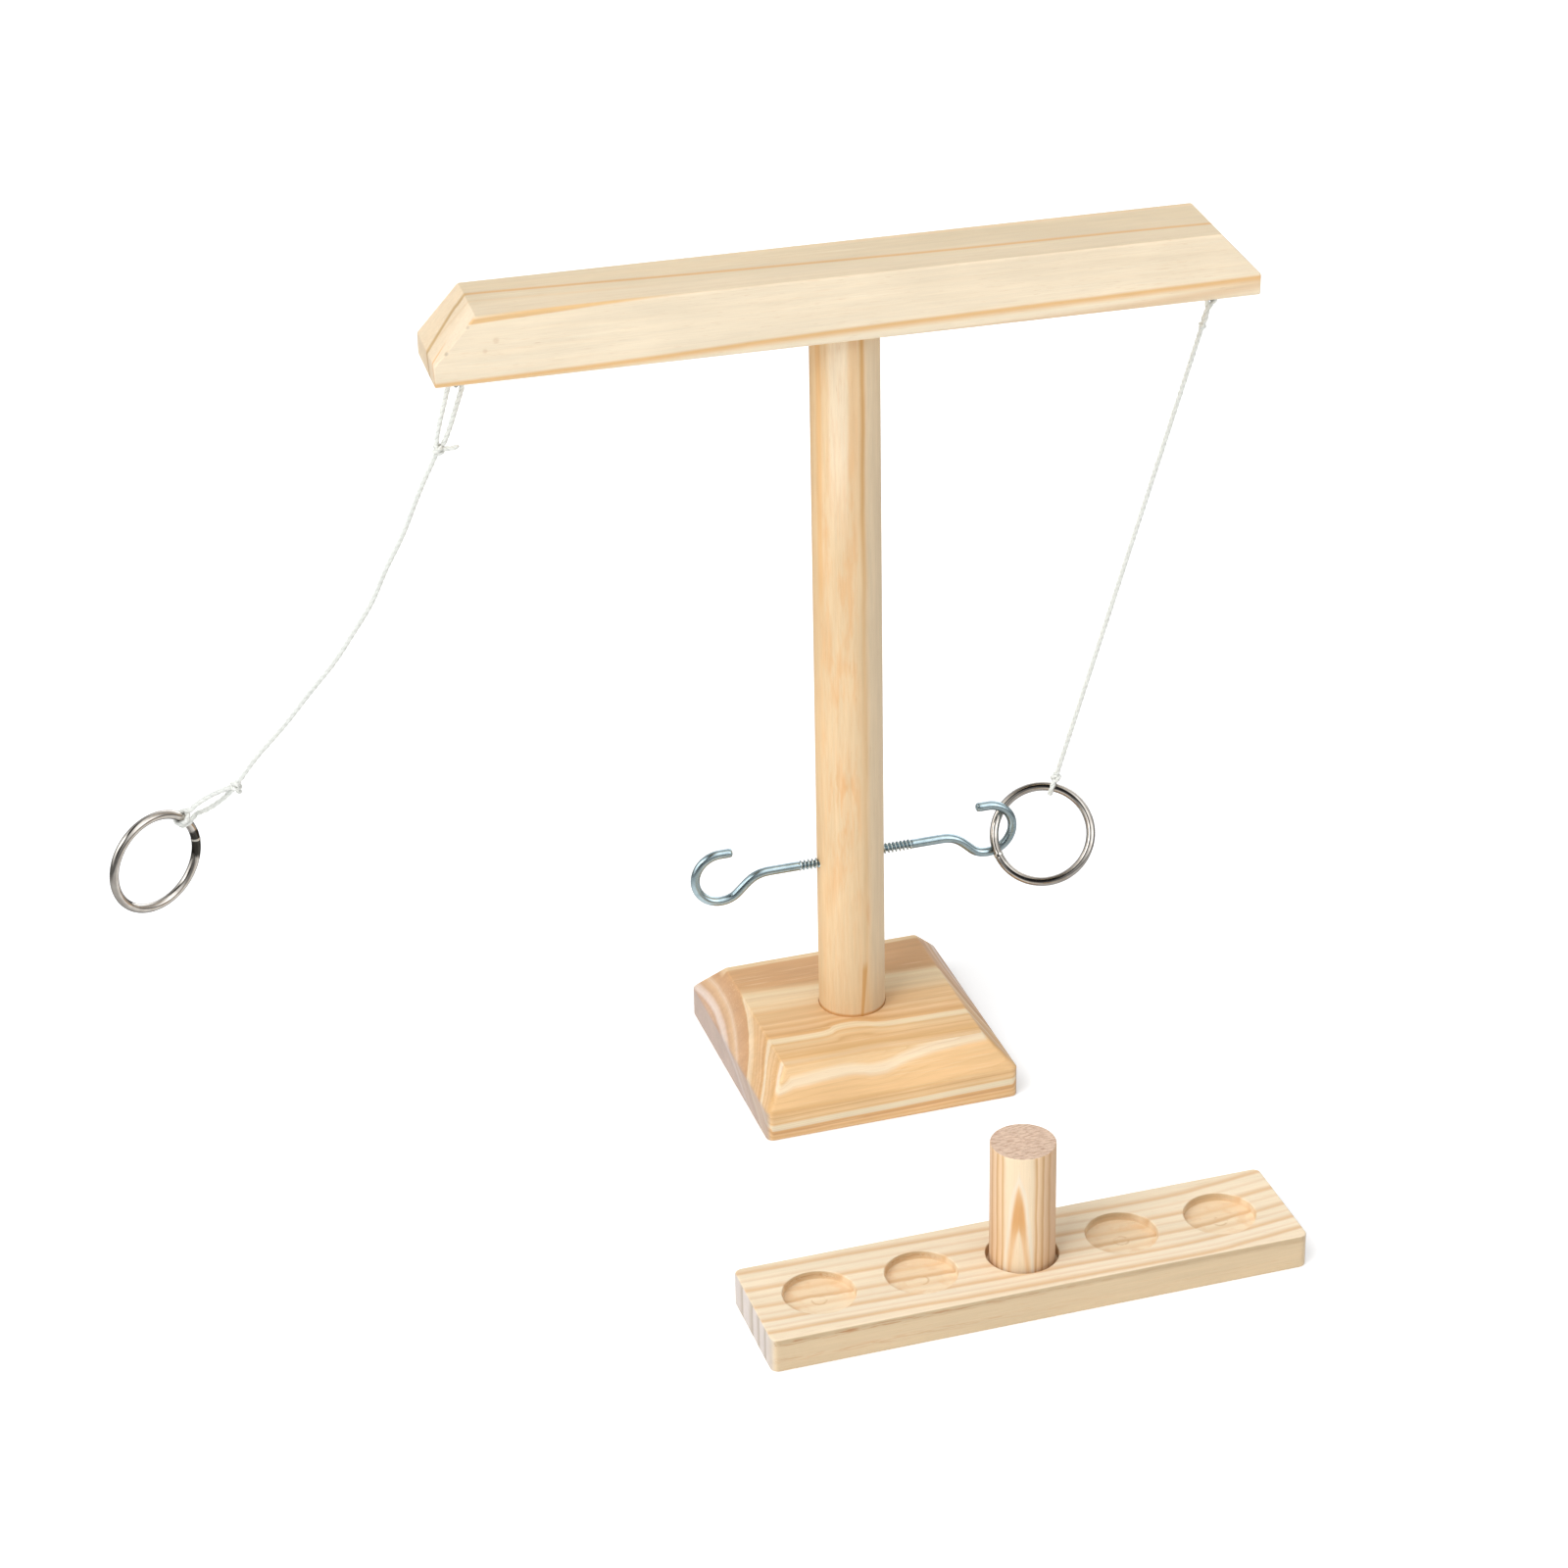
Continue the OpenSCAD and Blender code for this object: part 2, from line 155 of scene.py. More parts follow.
LEFT_PIVOT = on_bar(-140.2, EYE_LOW)
RIGHT_PIVOT = on_bar(137.4, EYE_LOW)
LEFT_RING = LEFT_PIVOT + Vector((-118.4, 12.5, -174.6))
RIGHT_RING = Vector((74.7, -7.2, 87))
LEFT_LAY = (93, -63)
RIGHT_LAY = (51, -118)
LEFT_WELD = 97
RIGHT_WELD = 300
LEFT_HITCH = on_ring(LEFT_RING, LEFT_LAY, 134)
RIGHT_HITCH = on_ring(RIGHT_RING, RIGHT_LAY, 173)
LEFT_KNOT_1 = LEFT_PIVOT + 25.3 * Vector((-0.275, 0.091, -0.956)).normalized()
LEFT_KNOT_2 = LEFT_PIVOT + Vector((-86.5, 14.5, -150))
RIGHT_RUN = (RIGHT_PIVOT - RIGHT_HITCH).normalized()
RIGHT_KNOT_1 = RIGHT_PIVOT - 10.5 * RIGHT_RUN
RIGHT_KNOT_2 = RIGHT_HITCH + 4.4 * RIGHT_RUN

# the left cord's route, counted from its eye
LEFT_ROUTE = [(-14, 3.5, -39), (-21, 5, -56), (-27.5, 6.5, -69), (-33.5, 7.5, -82),
              (-40.5, 8.5, -93), (-48, 9.5, -104), (-57.5, 11, -115.5), (-67.5, 12, -127.5),
              (-78, 13.5, -139)]

# half outlines of the cord's loops: sideways, along
LEFT_TOP_HALF = [(1.0, -23.6), (1.7, -20.5), (2.1, -14), (2.3, -7), (2.45, -3), (2.4, -0.6),
                 (2.05, 1.1), (1.2, 1.9)]
RIGHT_TOP_HALF = [(0.7, -9.4), (0.8, -6.5), (0.85, -3.6), (1.1, -1.8), (1.55, -0.3), (1.5, 0.9),
                  (0.9, 1.6)]
RIGHT_RING_HALF = [(0.5, 3.9), (1.7, 2.3), (2.4, 0.9), (2.5, -0.3), (2.1, -1.4), (1.2, -2.2)]
TOP_OF_LOOP = 2.2
RING_LOOP_END = -2.5

# the left ring's loop: along the ring wire, towards the front, towards the knot
LEFT_RING_LEG = [(0.6, 0, 22.4), (1.3, 0, 20), (2.5, 0, 15.5), (2.9, 0, 11), (2.5, 0, 7),
                 (1.7, 0, 4.9)]
LEFT_RING_TURNS = [
    (-1.5, 0.9, 3.4), (-1.0, 2.35, 0.9), (-0.9, 1.9, -1.5), (-0.6, 0, -2.45),
    (-0.35, -1.9, -1.5), (-0.1, -2.4, 0.3), (0.1, -1.6, 1.9), (0.35, 0.2, 2.5),
    (0.6, 1.9, 1.6), (0.75, 2.4, 0), (0.8, 1.6, -1.8), (0.9, 0, -2.45),
    (1.0, -1.8, -1.7), (1.1, -2.4, 0.2), (1.2, -1.6, 2.4), (1.6, -0.6, 4.0)]


# mesh making ------------

def mesh_piece(name, verts, faces, uvs):
    """A smooth-shaded object from corners in millimetres; uvs holds one pair per corner."""
    mesh = bpy.data.meshes.new(name)
    mesh.from_pydata([Vector(v) * MM for v in verts], [], faces)
    layer = mesh.uv_layers.new(name="lay")
    for loop in mesh.loops:
        layer.data[loop.index].uv = uvs[loop.vertex_index]
    mesh.shade_smooth()
    mesh.validate()
    return new_object(name, mesh)


def from_bmesh(name, bm):
    bmesh.ops.recalc_face_normals(bm, faces=bm.faces)
    mesh = bpy.data.meshes.new(name)
    bm.to_mesh(mesh)
    bm.free()
    mesh.transform(Matrix.Scale(MM, 4))
    mesh.shade_smooth()
    piece = new_object(name, mesh)
    flat = piece.modifiers.new("flat_faces", "WEIGHTED_NORMAL")
    flat.mode = "FACE_AREA"
    flat.weight = 100
    flat.keep_sharp = False
    return piece


def grid_faces(rows, sides, closed=False):
    """Faces between rows of corners that run once round, with an end face on open ends."""
    faces = []
    for i in range(rows if closed else rows - 1):
        a, b = i * sides, (i + 1) % rows * sides
        for j in range(sides):
            k = (j + 1) % sides
            faces.append((a + j, a + k, b + k, b + j))
    if not closed:
        faces.append(tuple(reversed(range(sides))))
        faces.append(tuple((rows - 1) * sides + j for j in range(sides)))
    return faces


def smooth_path(points, parts):
    """A smooth line through points, parts steps between each pair."""
    pts = [Vector(p) for p in points]
    path = []
    for i in range(len(pts) - 1):
        a, b, c, d = (pts[min(max(j, 0), len(pts) - 1)] for j in range(i - 1, i + 3))
        for k in range(parts):
            t = k / parts
            path.append(0.5 * (2 * b + (c - a) * t + (2 * a - 5 * b + 4 * c - d) * t * t
                               + (3 * b - a - 3 * c + d) * t ** 3))
    return path + [pts[-1]]


def even_path(points, step):
    """The same line with its points about step apart."""
    out = [points[0].copy()]
    spare = 0.0
    for a, b in zip(points, points[1:]):
        gap = (b - a).length
        where = step - spare
        while where < gap:
            out.append(a.lerp(b, where / gap))
            where += step
        spare = gap - (where - step)
    if (out[-1] - points[-1]).length <= 0.3 * step:
        out.pop()
    return out + [points[-1].copy()]


def tube(path, radius, sides, closed=False, uv_step=1.0):
    """Corners, faces and uvs of a tube; radius(run, angle, k) is given the distance run,
    the angle round the tube and the point's number."""
    n = len(path)
    tangents = []
    for i in range(n):
        before = path[i - 1] if (closed or i) else path[0]
        after = path[(i + 1) % n] if (closed or i < n - 1) else path[-1]
        tangents.append((after - before).normalized())
    side = tangents[0].orthogonal().normalized()
    frames = []
    for i in range(n):
        if i:
            side = tangents[i - 1].rotation_difference(tangents[i]) @ side
        side = (side - tangents[i] * side.dot(tangents[i])).normalized()
        frames.append((side.copy(), tangents[i].cross(side)))
    slip = 0.0
    if closed:  # the turn that is left over after one round is shared out
        last = tangents[-1].rotation_difference(tangents[0]) @ frames[-1][0]
        slip = atan2(last.dot(frames[0][1]), last.dot(frames[0][0]))
    verts, uvs = [], []
    run = 0.0
    for i, (x, y) in enumerate(frames):
        if i:
            run += (path[i] - path[i - 1]).length
        back = -slip * i / n
        for j in range(sides):
            angle = TAU * j / sides
            r = radius(run, angle, i)
            verts.append(path[i] + r * (cos(angle + back) * x + sin(angle + back) * y))
            uvs.append((run / uv_step, j / sides))
    return verts, grid_faces(n, sides, closed), uvs


def joined(parts):
    """Several (verts, faces, uvs) as one."""
    verts, faces, uvs = [], [], []
    for v, f, u in parts:
        start = len(verts)
        verts += v
        faces += [tuple(start + i for i in face) for face in f]
        uvs += u
    return verts, faces, uvs


# cords: two plies laid together ------------

PLY_OUT = 0.26
PLY_R = 0.74
CORD_LAY = 5.2
KNOT_LAY = 3.5
CORD_STEP = 0.45
CUT_END = 0.55  # a cut end's share of the cord's thickness


def curve(points, parts=8, step=CORD_STEP):
    return even_path(smooth_path(points, parts), step)


def laid(run, angle, lay, size):
    """The outline of two plies that turn once round each other in each lay."""
    a = angle - TAU * run / lay
    s = sin(a)
    return size * (PLY_OUT * abs(cos(a)) + sqrt(PLY_R ** 2 - (PLY_OUT * s) ** 2))


def cord_tube(path, sides, size):
    ends = (0, len(path) - 1)
    return tube(path, lambda run, angle, k: laid(run, angle, CORD_LAY, size)
                * (CUT_END if k in ends else 1.0), sides, uv_step=CORD_LAY)


def cord_piece(name, path):
    return mesh_piece(name, *cord_tube(path, 14, 1.0))


def loop_piece(name, half, top, centre, side, up, turn=0.0):
    """A long loop; below the wire it holds, it turns about its own length by turn degrees."""
    line = []
    for x, y in half + [(0, top)] + [(-x, y) for x, y in reversed(half)]:
        a = radians(turn) * min(1.0, max(0.0, (-y - 0.5) / 5))
        line.append(centre + x * (cos(a) * side + sin(a) * up.cross(side)) + y * up)
    return cord_piece(name, curve(line))


def knot_piece(name, centre, axis, sideways, size, *tails):
    """One overhand knot round axis, and its cut tails, each given as points."""
    third = axis.cross(sideways).normalized()
    turns = []
    for i in range(90):
        t = TAU * i / 90
        out = 2 + cos(3 * t)
        x, y, z = out * cos(2 * t), out * sin(2 * t), sin(3 * t)
        turns.append(centre + size * (0.5 * x * sideways + 0.5 * y * third + 1.05 * z * axis))
    parts = [tube(turns, lambda run, angle, k: laid(run, angle, KNOT_LAY, 0.9), 12,
                  closed=True, uv_step=CORD_LAY)]
    for points in tails:
        tail = curve([centre + a * sideways + b * axis + c * third for a, b, c in points])
        parts.append(cord_tube(tail, 12, 0.92))
    return mesh_piece(name, *joined(parts))


# left cord, knot to knot, in one piece across its bend
left_line = curve([LEFT_KNOT_1] + [LEFT_PIVOT + Vector(p) for p in LEFT_ROUTE] + [LEFT_KNOT_2],
                  24)
left_cord = cord_piece("left_cord", left_line)

# left top loop on the eye's lower wire, and its knot
left_up = (LEFT_PIVOT - LEFT_KNOT_1).normalized()
left_side = Vector((0, 1, 0)).cross(left_up).normalized()
left_top_loop = loop_piece("left_loop_cord", LEFT_TOP_HALF, TOP_OF_LOOP, LEFT_PIVOT, left_side,
                           left_up)
left_top_knot = knot_piece("left_loop_knot", LEFT_KNOT_1, left_up, left_side, 1.05,
                           [(0, 0.4, 0), (2.2, 0.9, -0.6), (4.6, 1.6, -0.9), (6.6, 3.0, -1.2)])

# left ring loop, taken twice round the wire, and its knot
left_ring_up = (LEFT_KNOT_2 - LEFT_HITCH).normalized()
left_spoke = (LEFT_HITCH - LEFT_RING).normalized()
left_wire = ring_axes(*LEFT_LAY)[2].cross(left_spoke).normalized()
if left_wire.z < 0:
    left_wire = -left_wire
left_front = left_ring_up.cross(left_wire).normalized()
left_turns = [(-x, y, z) for x, y, z in LEFT_RING_LEG] + LEFT_RING_TURNS + LEFT_RING_LEG[::-1]
left_turns = [LEFT_HITCH + x * left_wire + y * left_front + z * left_ring_up
              for x, y, z in left_turns]
left_ring_loop = cord_piece("left_ring_loop_cord", curve(left_turns, step=0.4))
left_ring_knot = knot_piece("left_ring_loop_knot", LEFT_KNOT_2, left_ring_up, left_wire, 0.95,
                            [(0, -0.3, 0), (-1.8, -0.9, 0.9), (-3.4, -0.4, 1.3)])

# right cord, drawn straight, with both its loops and knots
right_side = Vector((0, 1, 0)).cross(RIGHT_RUN).normalized()
right_line = even_path([RIGHT_KNOT_1, RIGHT_KNOT_2], CORD_STEP)
right_cord = cord_piece("right_cord", right_line)
right_top_loop = loop_piece("right_loop_cord", RIGHT_TOP_HALF, TOP_OF_LOOP, RIGHT_PIVOT,
                            right_side, RIGHT_RUN, 80)
right_top_knot = knot_piece("right_loop_knot", RIGHT_KNOT_1, RIGHT_RUN, right_side, 0.5)
right_spoke = (RIGHT_HITCH - RIGHT_RING).normalized()
right_ring_side = ring_axes(*RIGHT_LAY)[2].cross(right_spoke).cross(RIGHT_RUN).normalized()
right_ring_loop = loop_piece("right_ring_loop_cord", RIGHT_RING_HALF, RING_LOOP_END, RIGHT_HITCH,
                             right_ring_side, RIGHT_RUN)
right_ring_knot = knot_piece("right_ring_loop_knot", RIGHT_KNOT_2, RIGHT_RUN, right_ring_side,
                             0.85)


# wooden pieces ------------

def rounded_outline(half_x, half_y, corner, per_side=6):
    """Points round a rectangle with rounded corners, anticlockwise."""
    points = []
    x, y = half_x - corner, half_y - corner
    centres = [(x, -y, -90), (x, y, 0), (-x, y, 90), (-x, -y, 180)]
    for i, (cx, cy, start) in enumerate(centres):
        for k in range(7):
            a = radians(start + 15 * k)
            points.append((cx + corner * cos(a), cy + corner * sin(a)))
        nx, ny, nstart = centres[(i + 1) % 4]
        a = radians(nstart)
        here = points[-1]
        goal = (nx + corner * cos(a), ny + corner * sin(a))
        for k in range(1, per_side):
            points.append(tuple(h + (g - h) * (k / per_side) for h, g in zip(here, goal)))
    return points


def circle(r, sides, x=0.0):
    return [(x + r * cos(TAU * j / sides), r * sin(TAU * j / sides)) for j in range(sides)]


def add_loop(bm, points, z):
    return [bm.verts.new((x, y, z)) for x, y in points]


def bridge(bm, a, b):
    n = len(a)
    for i in range(n):
        j = (i + 1) % n
        bm.faces.new((a[i], a[j], b[j], b[i]))


def stack(bm, loops, close_last=True):
    """Joins (points, z) loops in order, with a flat face at each end that is closed."""
    made = [add_loop(bm, points, z) for points, z in loops]
    for a, b in zip(made, made[1:]):
        bridge(bm, a, b)
    bm.faces.new(list(reversed(made[0])))
    if close_last:
        bm.faces.new(made[-1])
    return made


def rim_edges(loop):
    return {e for v in loop for e in v.link_edges if e.verts[0] in loop and e.verts[1] in loop}


def turned(profile):
    """A bmesh turned about Z from (radius, z) pairs, closed at both ends."""
    bm = bmesh.new()
    stack(bm, [(circle(r, 96), z) for r, z in profile])
    return bm


def make_base():
    half, inner = BASE_SIDE / 2, BASE_SIDE / 2 - BASE_BEVEL_IN
    slope = BASE_BEVEL_IN / (BASE_HIGH - BASE_WALL)
    # half width, corner radius and height, from the underside up
    rows = [(half - 0.5, 2.3, 0), (half - 0.12, 2.7, 0.15), (half, BASE_CORNER, 0.5),
            (half, BASE_CORNER, BASE_WALL - 0.45), (half - 0.05, 2.7, BASE_WALL - 0.15),
            (half - 0.18, 2.6, BASE_WALL + 0.15), (half - 0.45, 2.5, BASE_WALL + 0.48)]
    rows += [(half - (z - BASE_WALL) * slope, 2.5 - (z - BASE_WALL) * 0.1, z)
             for z in (16, 20, BASE_HIGH - 0.5)]
    rows += [(inner, 1.3, BASE_HIGH - 0.2), (inner - 0.3, 1.3, BASE_HIGH - 0.05),
             (inner - 0.68, 1.3, BASE_HIGH)]
    bm = bmesh.new()
    last = stack(bm, [(rounded_outline(h, h, corner), z) for h, corner, z in rows],
                 close_last=False)[-1]
    rim = [(v.co.x, v.co.y) for v in last]
    # down the wall of the socket
    for r, z in ((POST_R + 0.45, BASE_HIGH), (POST_R + 0.05, BASE_HIGH - 0.3),
                 (POST_R + 0.05, POST_FOOT)):
        points = [(r * x / hypot(x, y), r * y / hypot(x, y)) for x, y in rim]
        ring = add_loop(bm, points, z)
        bridge(bm, last, ring)
        last = ring
    bm.faces.new(last)
    return from_bmesh("base_wood", bm)


def make_post():
    end = POST_TOP + TENON_LEN
    profile = [(0.5, POST_FOOT), (POST_R - 0.6, POST_FOOT), (POST_R, POST_FOOT + 0.6)]
    profile += [(POST_R, z) for z in range(20, 300, 20)]
    profile += [(POST_R, POST_TOP - 0.5), (POST_R - 0.25, POST_TOP - 0.08),
                (POST_R - 0.7, POST_TOP), (TENON_R, POST_TOP), (TENON_R, end - 0.8),
                (TENON_R - 0.8, end), (0.5, end)]
    return from_bmesh("post_wood", turned(profile))


def make_bar():
    bm = bmesh.new()
    bmesh.ops.create_cube(bm, size=1)
    bmesh.ops.scale(bm, vec=(BAR_LEN, BAR_DEEP, BAR_HIGH), verts=bm.verts)
    bmesh.ops.translate(bm, vec=(0, 0, BAR_HIGH / 2), verts=bm.verts)
    long_edges = [e for e in bm.edges if abs(e.verts[0].co.x - e.verts[1].co.x) > 1]
    bmesh.ops.bevel(bm, geom=long_edges, offset=BAR_EASE, segments=4, profile=0.5,
                    affect="EDGES")
    for side in (-1, 1):
        lip = Vector((side * BAR_LEN / 2, 0, BAR_HIGH - BAR_DROP))
        out = Vector((side * BAR_DROP, 0, BAR_RUN)).normalized()
        cut = bmesh.ops.bisect_plane(bm, geom=bm.verts[:] + bm.edges[:] + bm.faces[:],
                                     plane_co=lip, plane_no=out, clear_outer=True)
        rim = [g for g in cut["geom_cut"] if isinstance(g, bmesh.types.BMEdge)]
        bmesh.ops.contextual_create(bm, geom=rim)
    sharp = [e for e in bm.edges if len(e.link_faces) == 2
             and e.calc_face_angle(0) > radians(30)]
    bmesh.ops.bevel(bm, geom=sharp, offset=BAR_END_EASE, segments=3, profile=0.5,
                    affect="EDGES")
    bmesh.ops.rotate(bm, cent=(0, 0, 0), matrix=Matrix.Rotation(BAR_TURN, 3, "Z"),
                     verts=bm.verts)
    bmesh.ops.translate(bm, vec=(0, 0, POST_TOP), verts=bm.verts)
    return from_bmesh("bar_wood", bm)


def make_board():
    # inset, corner radius and height, from the underside up
    rows = [(0.5, 2.5, 0), (0.12, 2.9, 0.15), (0, BOARD_CORNER, 0.5),
            (0, BOARD_CORNER, BOARD_HIGH - 0.7)]
    rows += [(inset, BOARD_CORNER - inset, BOARD_HIGH + z)
             for inset, z in ((0.08, -0.42), (0.25, -0.18), (0.5, -0.05), (0.8, 0))]
    bm = bmesh.new()
    made = stack(bm, [(rounded_outline(BOARD_LEN / 2 - inset, BOARD_WIDE / 2 - inset, corner, 10),
                       z) for inset, corner, z in rows], close_last=False)
    edges = rim_edges(made[-1])
    # radius and height down each recess and across its floor
    bore = [(RECESS_R + out, BOARD_HIGH + z)
            for out, z in ((0.45, 0), (0.18, -0.1), (0.03, -0.35), (0, -0.7),
                           (0, 0.45 - RECESS_DEEP), (-0.12, 0.14 - RECESS_DEEP),
                           (-0.45, -RECESS_DEEP))]
    bore += [(r, PEG_Z) for r in (9, 5, 1.5)]
    for i in range(-2, 3):
        rims = [add_loop(bm, circle(r, 72, i * RECESS_PITCH), z) for r, z in bore]
        for a, b in zip(rims, rims[1:]):
            bridge(bm, a, b)
        bm.faces.new(rims[-1])
        edges |= rim_edges(rims[0])
    bmesh.ops.triangle_fill(bm, use_beauty=True, use_dissolve=False, edges=list(edges),
                            normal=(0, 0, 1))
    bmesh.ops.translate(bm, vec=(BOARD_X, BOARD_Y, 0), verts=bm.verts)
    return from_bmesh("board_wood", bm)


def make_peg():
    profile = [(0.5, 0), (PEG_R - PEG_EASE, 0), (PEG_R - 0.12, 0.12), (PEG_R, PEG_EASE)]
    profile += [(PEG_R, z) for z in (6, 16, 26, 36, 44)]
    for k in range(5):
        a = radians(22.5 * k)
        profile.append((PEG_R - PEG_EASE + PEG_EASE * cos(a),
                        PEG_LEN - PEG_EASE + PEG_EASE * sin(a)))
    bm = turned(profile + [(r, PEG_LEN) for r in (8, 4, 0.5)])
    bmesh.ops.translate(bm, vec=(BOARD_X, BOARD_Y, PEG_Z), verts=bm.verts)
    return from_bmesh("peg_wood", bm)


base = make_base()
post = make_post()
bar = make_bar()
board = make_board()
peg = make_peg()


# metal pieces ------------

def arc(centre, radius, start, end, steps):
    """Points on an upright arc: angles from +X towards +Z, degrees."""
    points = []
    for k in range(steps + 1):
        a = radians(start + (end - start) * k / steps)
        points.append(centre + radius * Vector((cos(a), 0, sin(a))))
    return points


def thread(start, along, length, crest, root, pitch, taper, neck, sides=28):
    """A screw thread along a line: a ridge that winds round a core, and a point.
    Its first uv is negative, the second grows from the crest to the groove."""
    steps = int(length / (pitch / 12))
    uvs = []

    def radius(run, angle, k):
        s = length * k / steps
        core = root + (neck - root) * max(0.0, 1 - s / 2.4)
        lift = min(1.0, s / 0.7)
        slim = min(1.0, (length - s) / taper)
        away = abs((s / pitch - angle / TAU) % 1.0 - 0.5)
        uvs.append((-lift * slim, away * 2))
        r = core + (crest - core) * min(1.0, max(0.0, 1 - away / 0.36) * 1.25) * lift
        return THREAD_TIP + (r - THREAD_TIP) * slim

    path = [start + along * (length * k / steps) for k in range(steps + 1)]
    return *tube(path, radius, sides)[:2], uvs


def softened(points, reach):
    """The line with its bends eased: each point moves to the middle of its neighbours."""
    out = []
    for i in range(len(points)):
        k = min(reach, i, len(points) - 1 - i)
        out.append(sum(points[i - k:i + k + 1], Vector()) / (2 * k + 1))
    return out


def make_hook(name, centre, way, sag):
    """A screw hook whose curl opens upwards; way is +1 to the right of the post."""
    s = sqrt(0.5)
    run = (-(HOOK_NECK - HOOK_NECK * s + sag) + HOOK_CURL * s) / s
    neck_x = -HOOK_CURL * s - run * s - HOOK_NECK * s
    line = [Vector((x, 0, HOOK_CURL)) for x in (-4.85, -4.6, -4.3, -3.4, -2.2, -1.1)]
    line += arc(Vector((0, 0, 0)), HOOK_CURL, 90, -135, 72)
    low = line[-1]
    neck = arc(Vector((neck_x, 0, -sag - HOOK_NECK)), HOOK_NECK, 45, 90, 14)
    line += [low.lerp(neck[0], k / 4) for k in range(1, 4)] + neck
    shank_end = Vector((-HOOK_THREAD - 0.05, 0, -sag))
    bends = len(line) - 24
    line += [neck[-1].lerp(shank_end, k / 8) for k in range(1, 8)]
    line = line[:bends] + softened(even_path(line[bends:], 0.5), 9)
    line += [line[-1].lerp(shank_end, k) for k in (0.4, 0.8, 0.97, 0.99, 1)]
    tip = {0: 0.0, 1: 0.62, 2: 0.9}
    wire = tube(line, lambda run_, angle, k: HOOK_WIRE * max(0.02, tip.get(k, 1.0)), 24)
    screw = thread(Vector((-HOOK_THREAD, 0, -sag)), Vector((-1, 0, 0)), HOOK_LEN - HOOK_THREAD,
                   HOOK_CREST, HOOK_ROOT, HOOK_PITCH, 5.5, HOOK_WIRE - 0.02)
    verts, faces, uvs = joined([wire, screw])
    placed = [Vector(centre) + Vector((way * v.x, v.y, v.z)) for v in verts]
    if way < 0:
        faces = [tuple(reversed(f)) for f in faces]
    return mesh_piece(name, placed, faces, uvs)


def make_eye(name, pivot):
    """An open wire eye that closes against its own shank."""
    middle = Vector((0, 0, EYE_R))
    line = []
    for k in range(61):
        a = radians(72 - 334 * k / 60)
        line.append(middle + EYE_R * Vector((0, cos(a), sin(a))))
    shank = [Vector((0, -0.25, 2 * EYE_R + 0.15)), Vector((0, 0, 2 * EYE_R + 0.6))]
    line += smooth_path([line[-1]] + shank, 4)[1:]
    rise = POST_TOP - EYE_LOW
    line.append(Vector((0, 0, rise)))
    ends = (0, len(line) - 1)
    wire = tube(line, lambda run, angle, k: EYE_WIRE * (0.8 if k in ends else 1.0), 16)
    low = 2 * EYE_R + 0.5
    screw = thread(Vector((0, 0, low)), Vector((0, 0, 1)), rise + EYE_SCREW - low,
                   EYE_CREST, EYE_ROOT, EYE_PITCH, 2.4, EYE_WIRE, 20)
    verts, faces, uvs = joined([wire, screw])
    turn = Matrix.Rotation(BAR_TURN, 3, "Z")
    return mesh_piece(name, [pivot + turn @ Vector(v) for v in verts], faces, uvs)


def make_ring(name, centre, lay, seam_at):
    """A closed wire ring with the small bead of its weld."""
    across, along, axis = ring_axes(*lay)
    steps, sides = 240, 24
    verts, uvs = [], []
    for i in range(steps):
        g = TAU * i / steps
        off = (g - radians(seam_at) + pi) % TAU - pi
        bead = 0.09 * exp(-(off / 0.035) ** 2) - 0.06 * exp(-((off - 0.05) / 0.012) ** 2)
        spoke = cos(g) * across + sin(g) * along
        for j in range(sides):
            a = TAU * j / sides
            r = (RING_WIRE + RING_FULL) * (1 + bead)
            out = RING_MAJOR + RING_FULL + r * cos(a)
            verts.append(centre + out * spoke + r * sin(a) * axis)
            uvs.append((g * RING_MAJOR, j / sides))
    faces = [(a, d, c, b) for a, b, c, d in grid_faces(steps, sides, closed=True)]
    return mesh_piece(name, verts, faces, uvs)


left_hook = make_hook("left_hook_steel", LEFT_HOOK, -1, 0.5)
right_hook = make_hook("right_hook_steel", RIGHT_HOOK, 1, 1)
left_eye = make_eye("left_eye_wire", LEFT_PIVOT)
right_eye = make_eye("right_eye_wire", RIGHT_PIVOT)
left_ring = make_ring("left_ring_wire", LEFT_RING, LEFT_LAY, LEFT_WELD)
right_ring = make_ring("right_ring_wire", RIGHT_RING, RIGHT_LAY, RIGHT_WELD)


# materials ------------

def tone(colour):
    """A screen colour, 0xRRGGBB, as scene-linear RGBA."""
    def line(v):
        v /= 255
        return v / 12.92 if v <= 0.04045 else ((v + 0.055) / 1.055) ** 2.4
    return (*(line(v) for v in colour.to_bytes(3, "big")), 1)


def by_node(operation):
    return lambda self, *others: self.nodes.math(operation, self, *others)


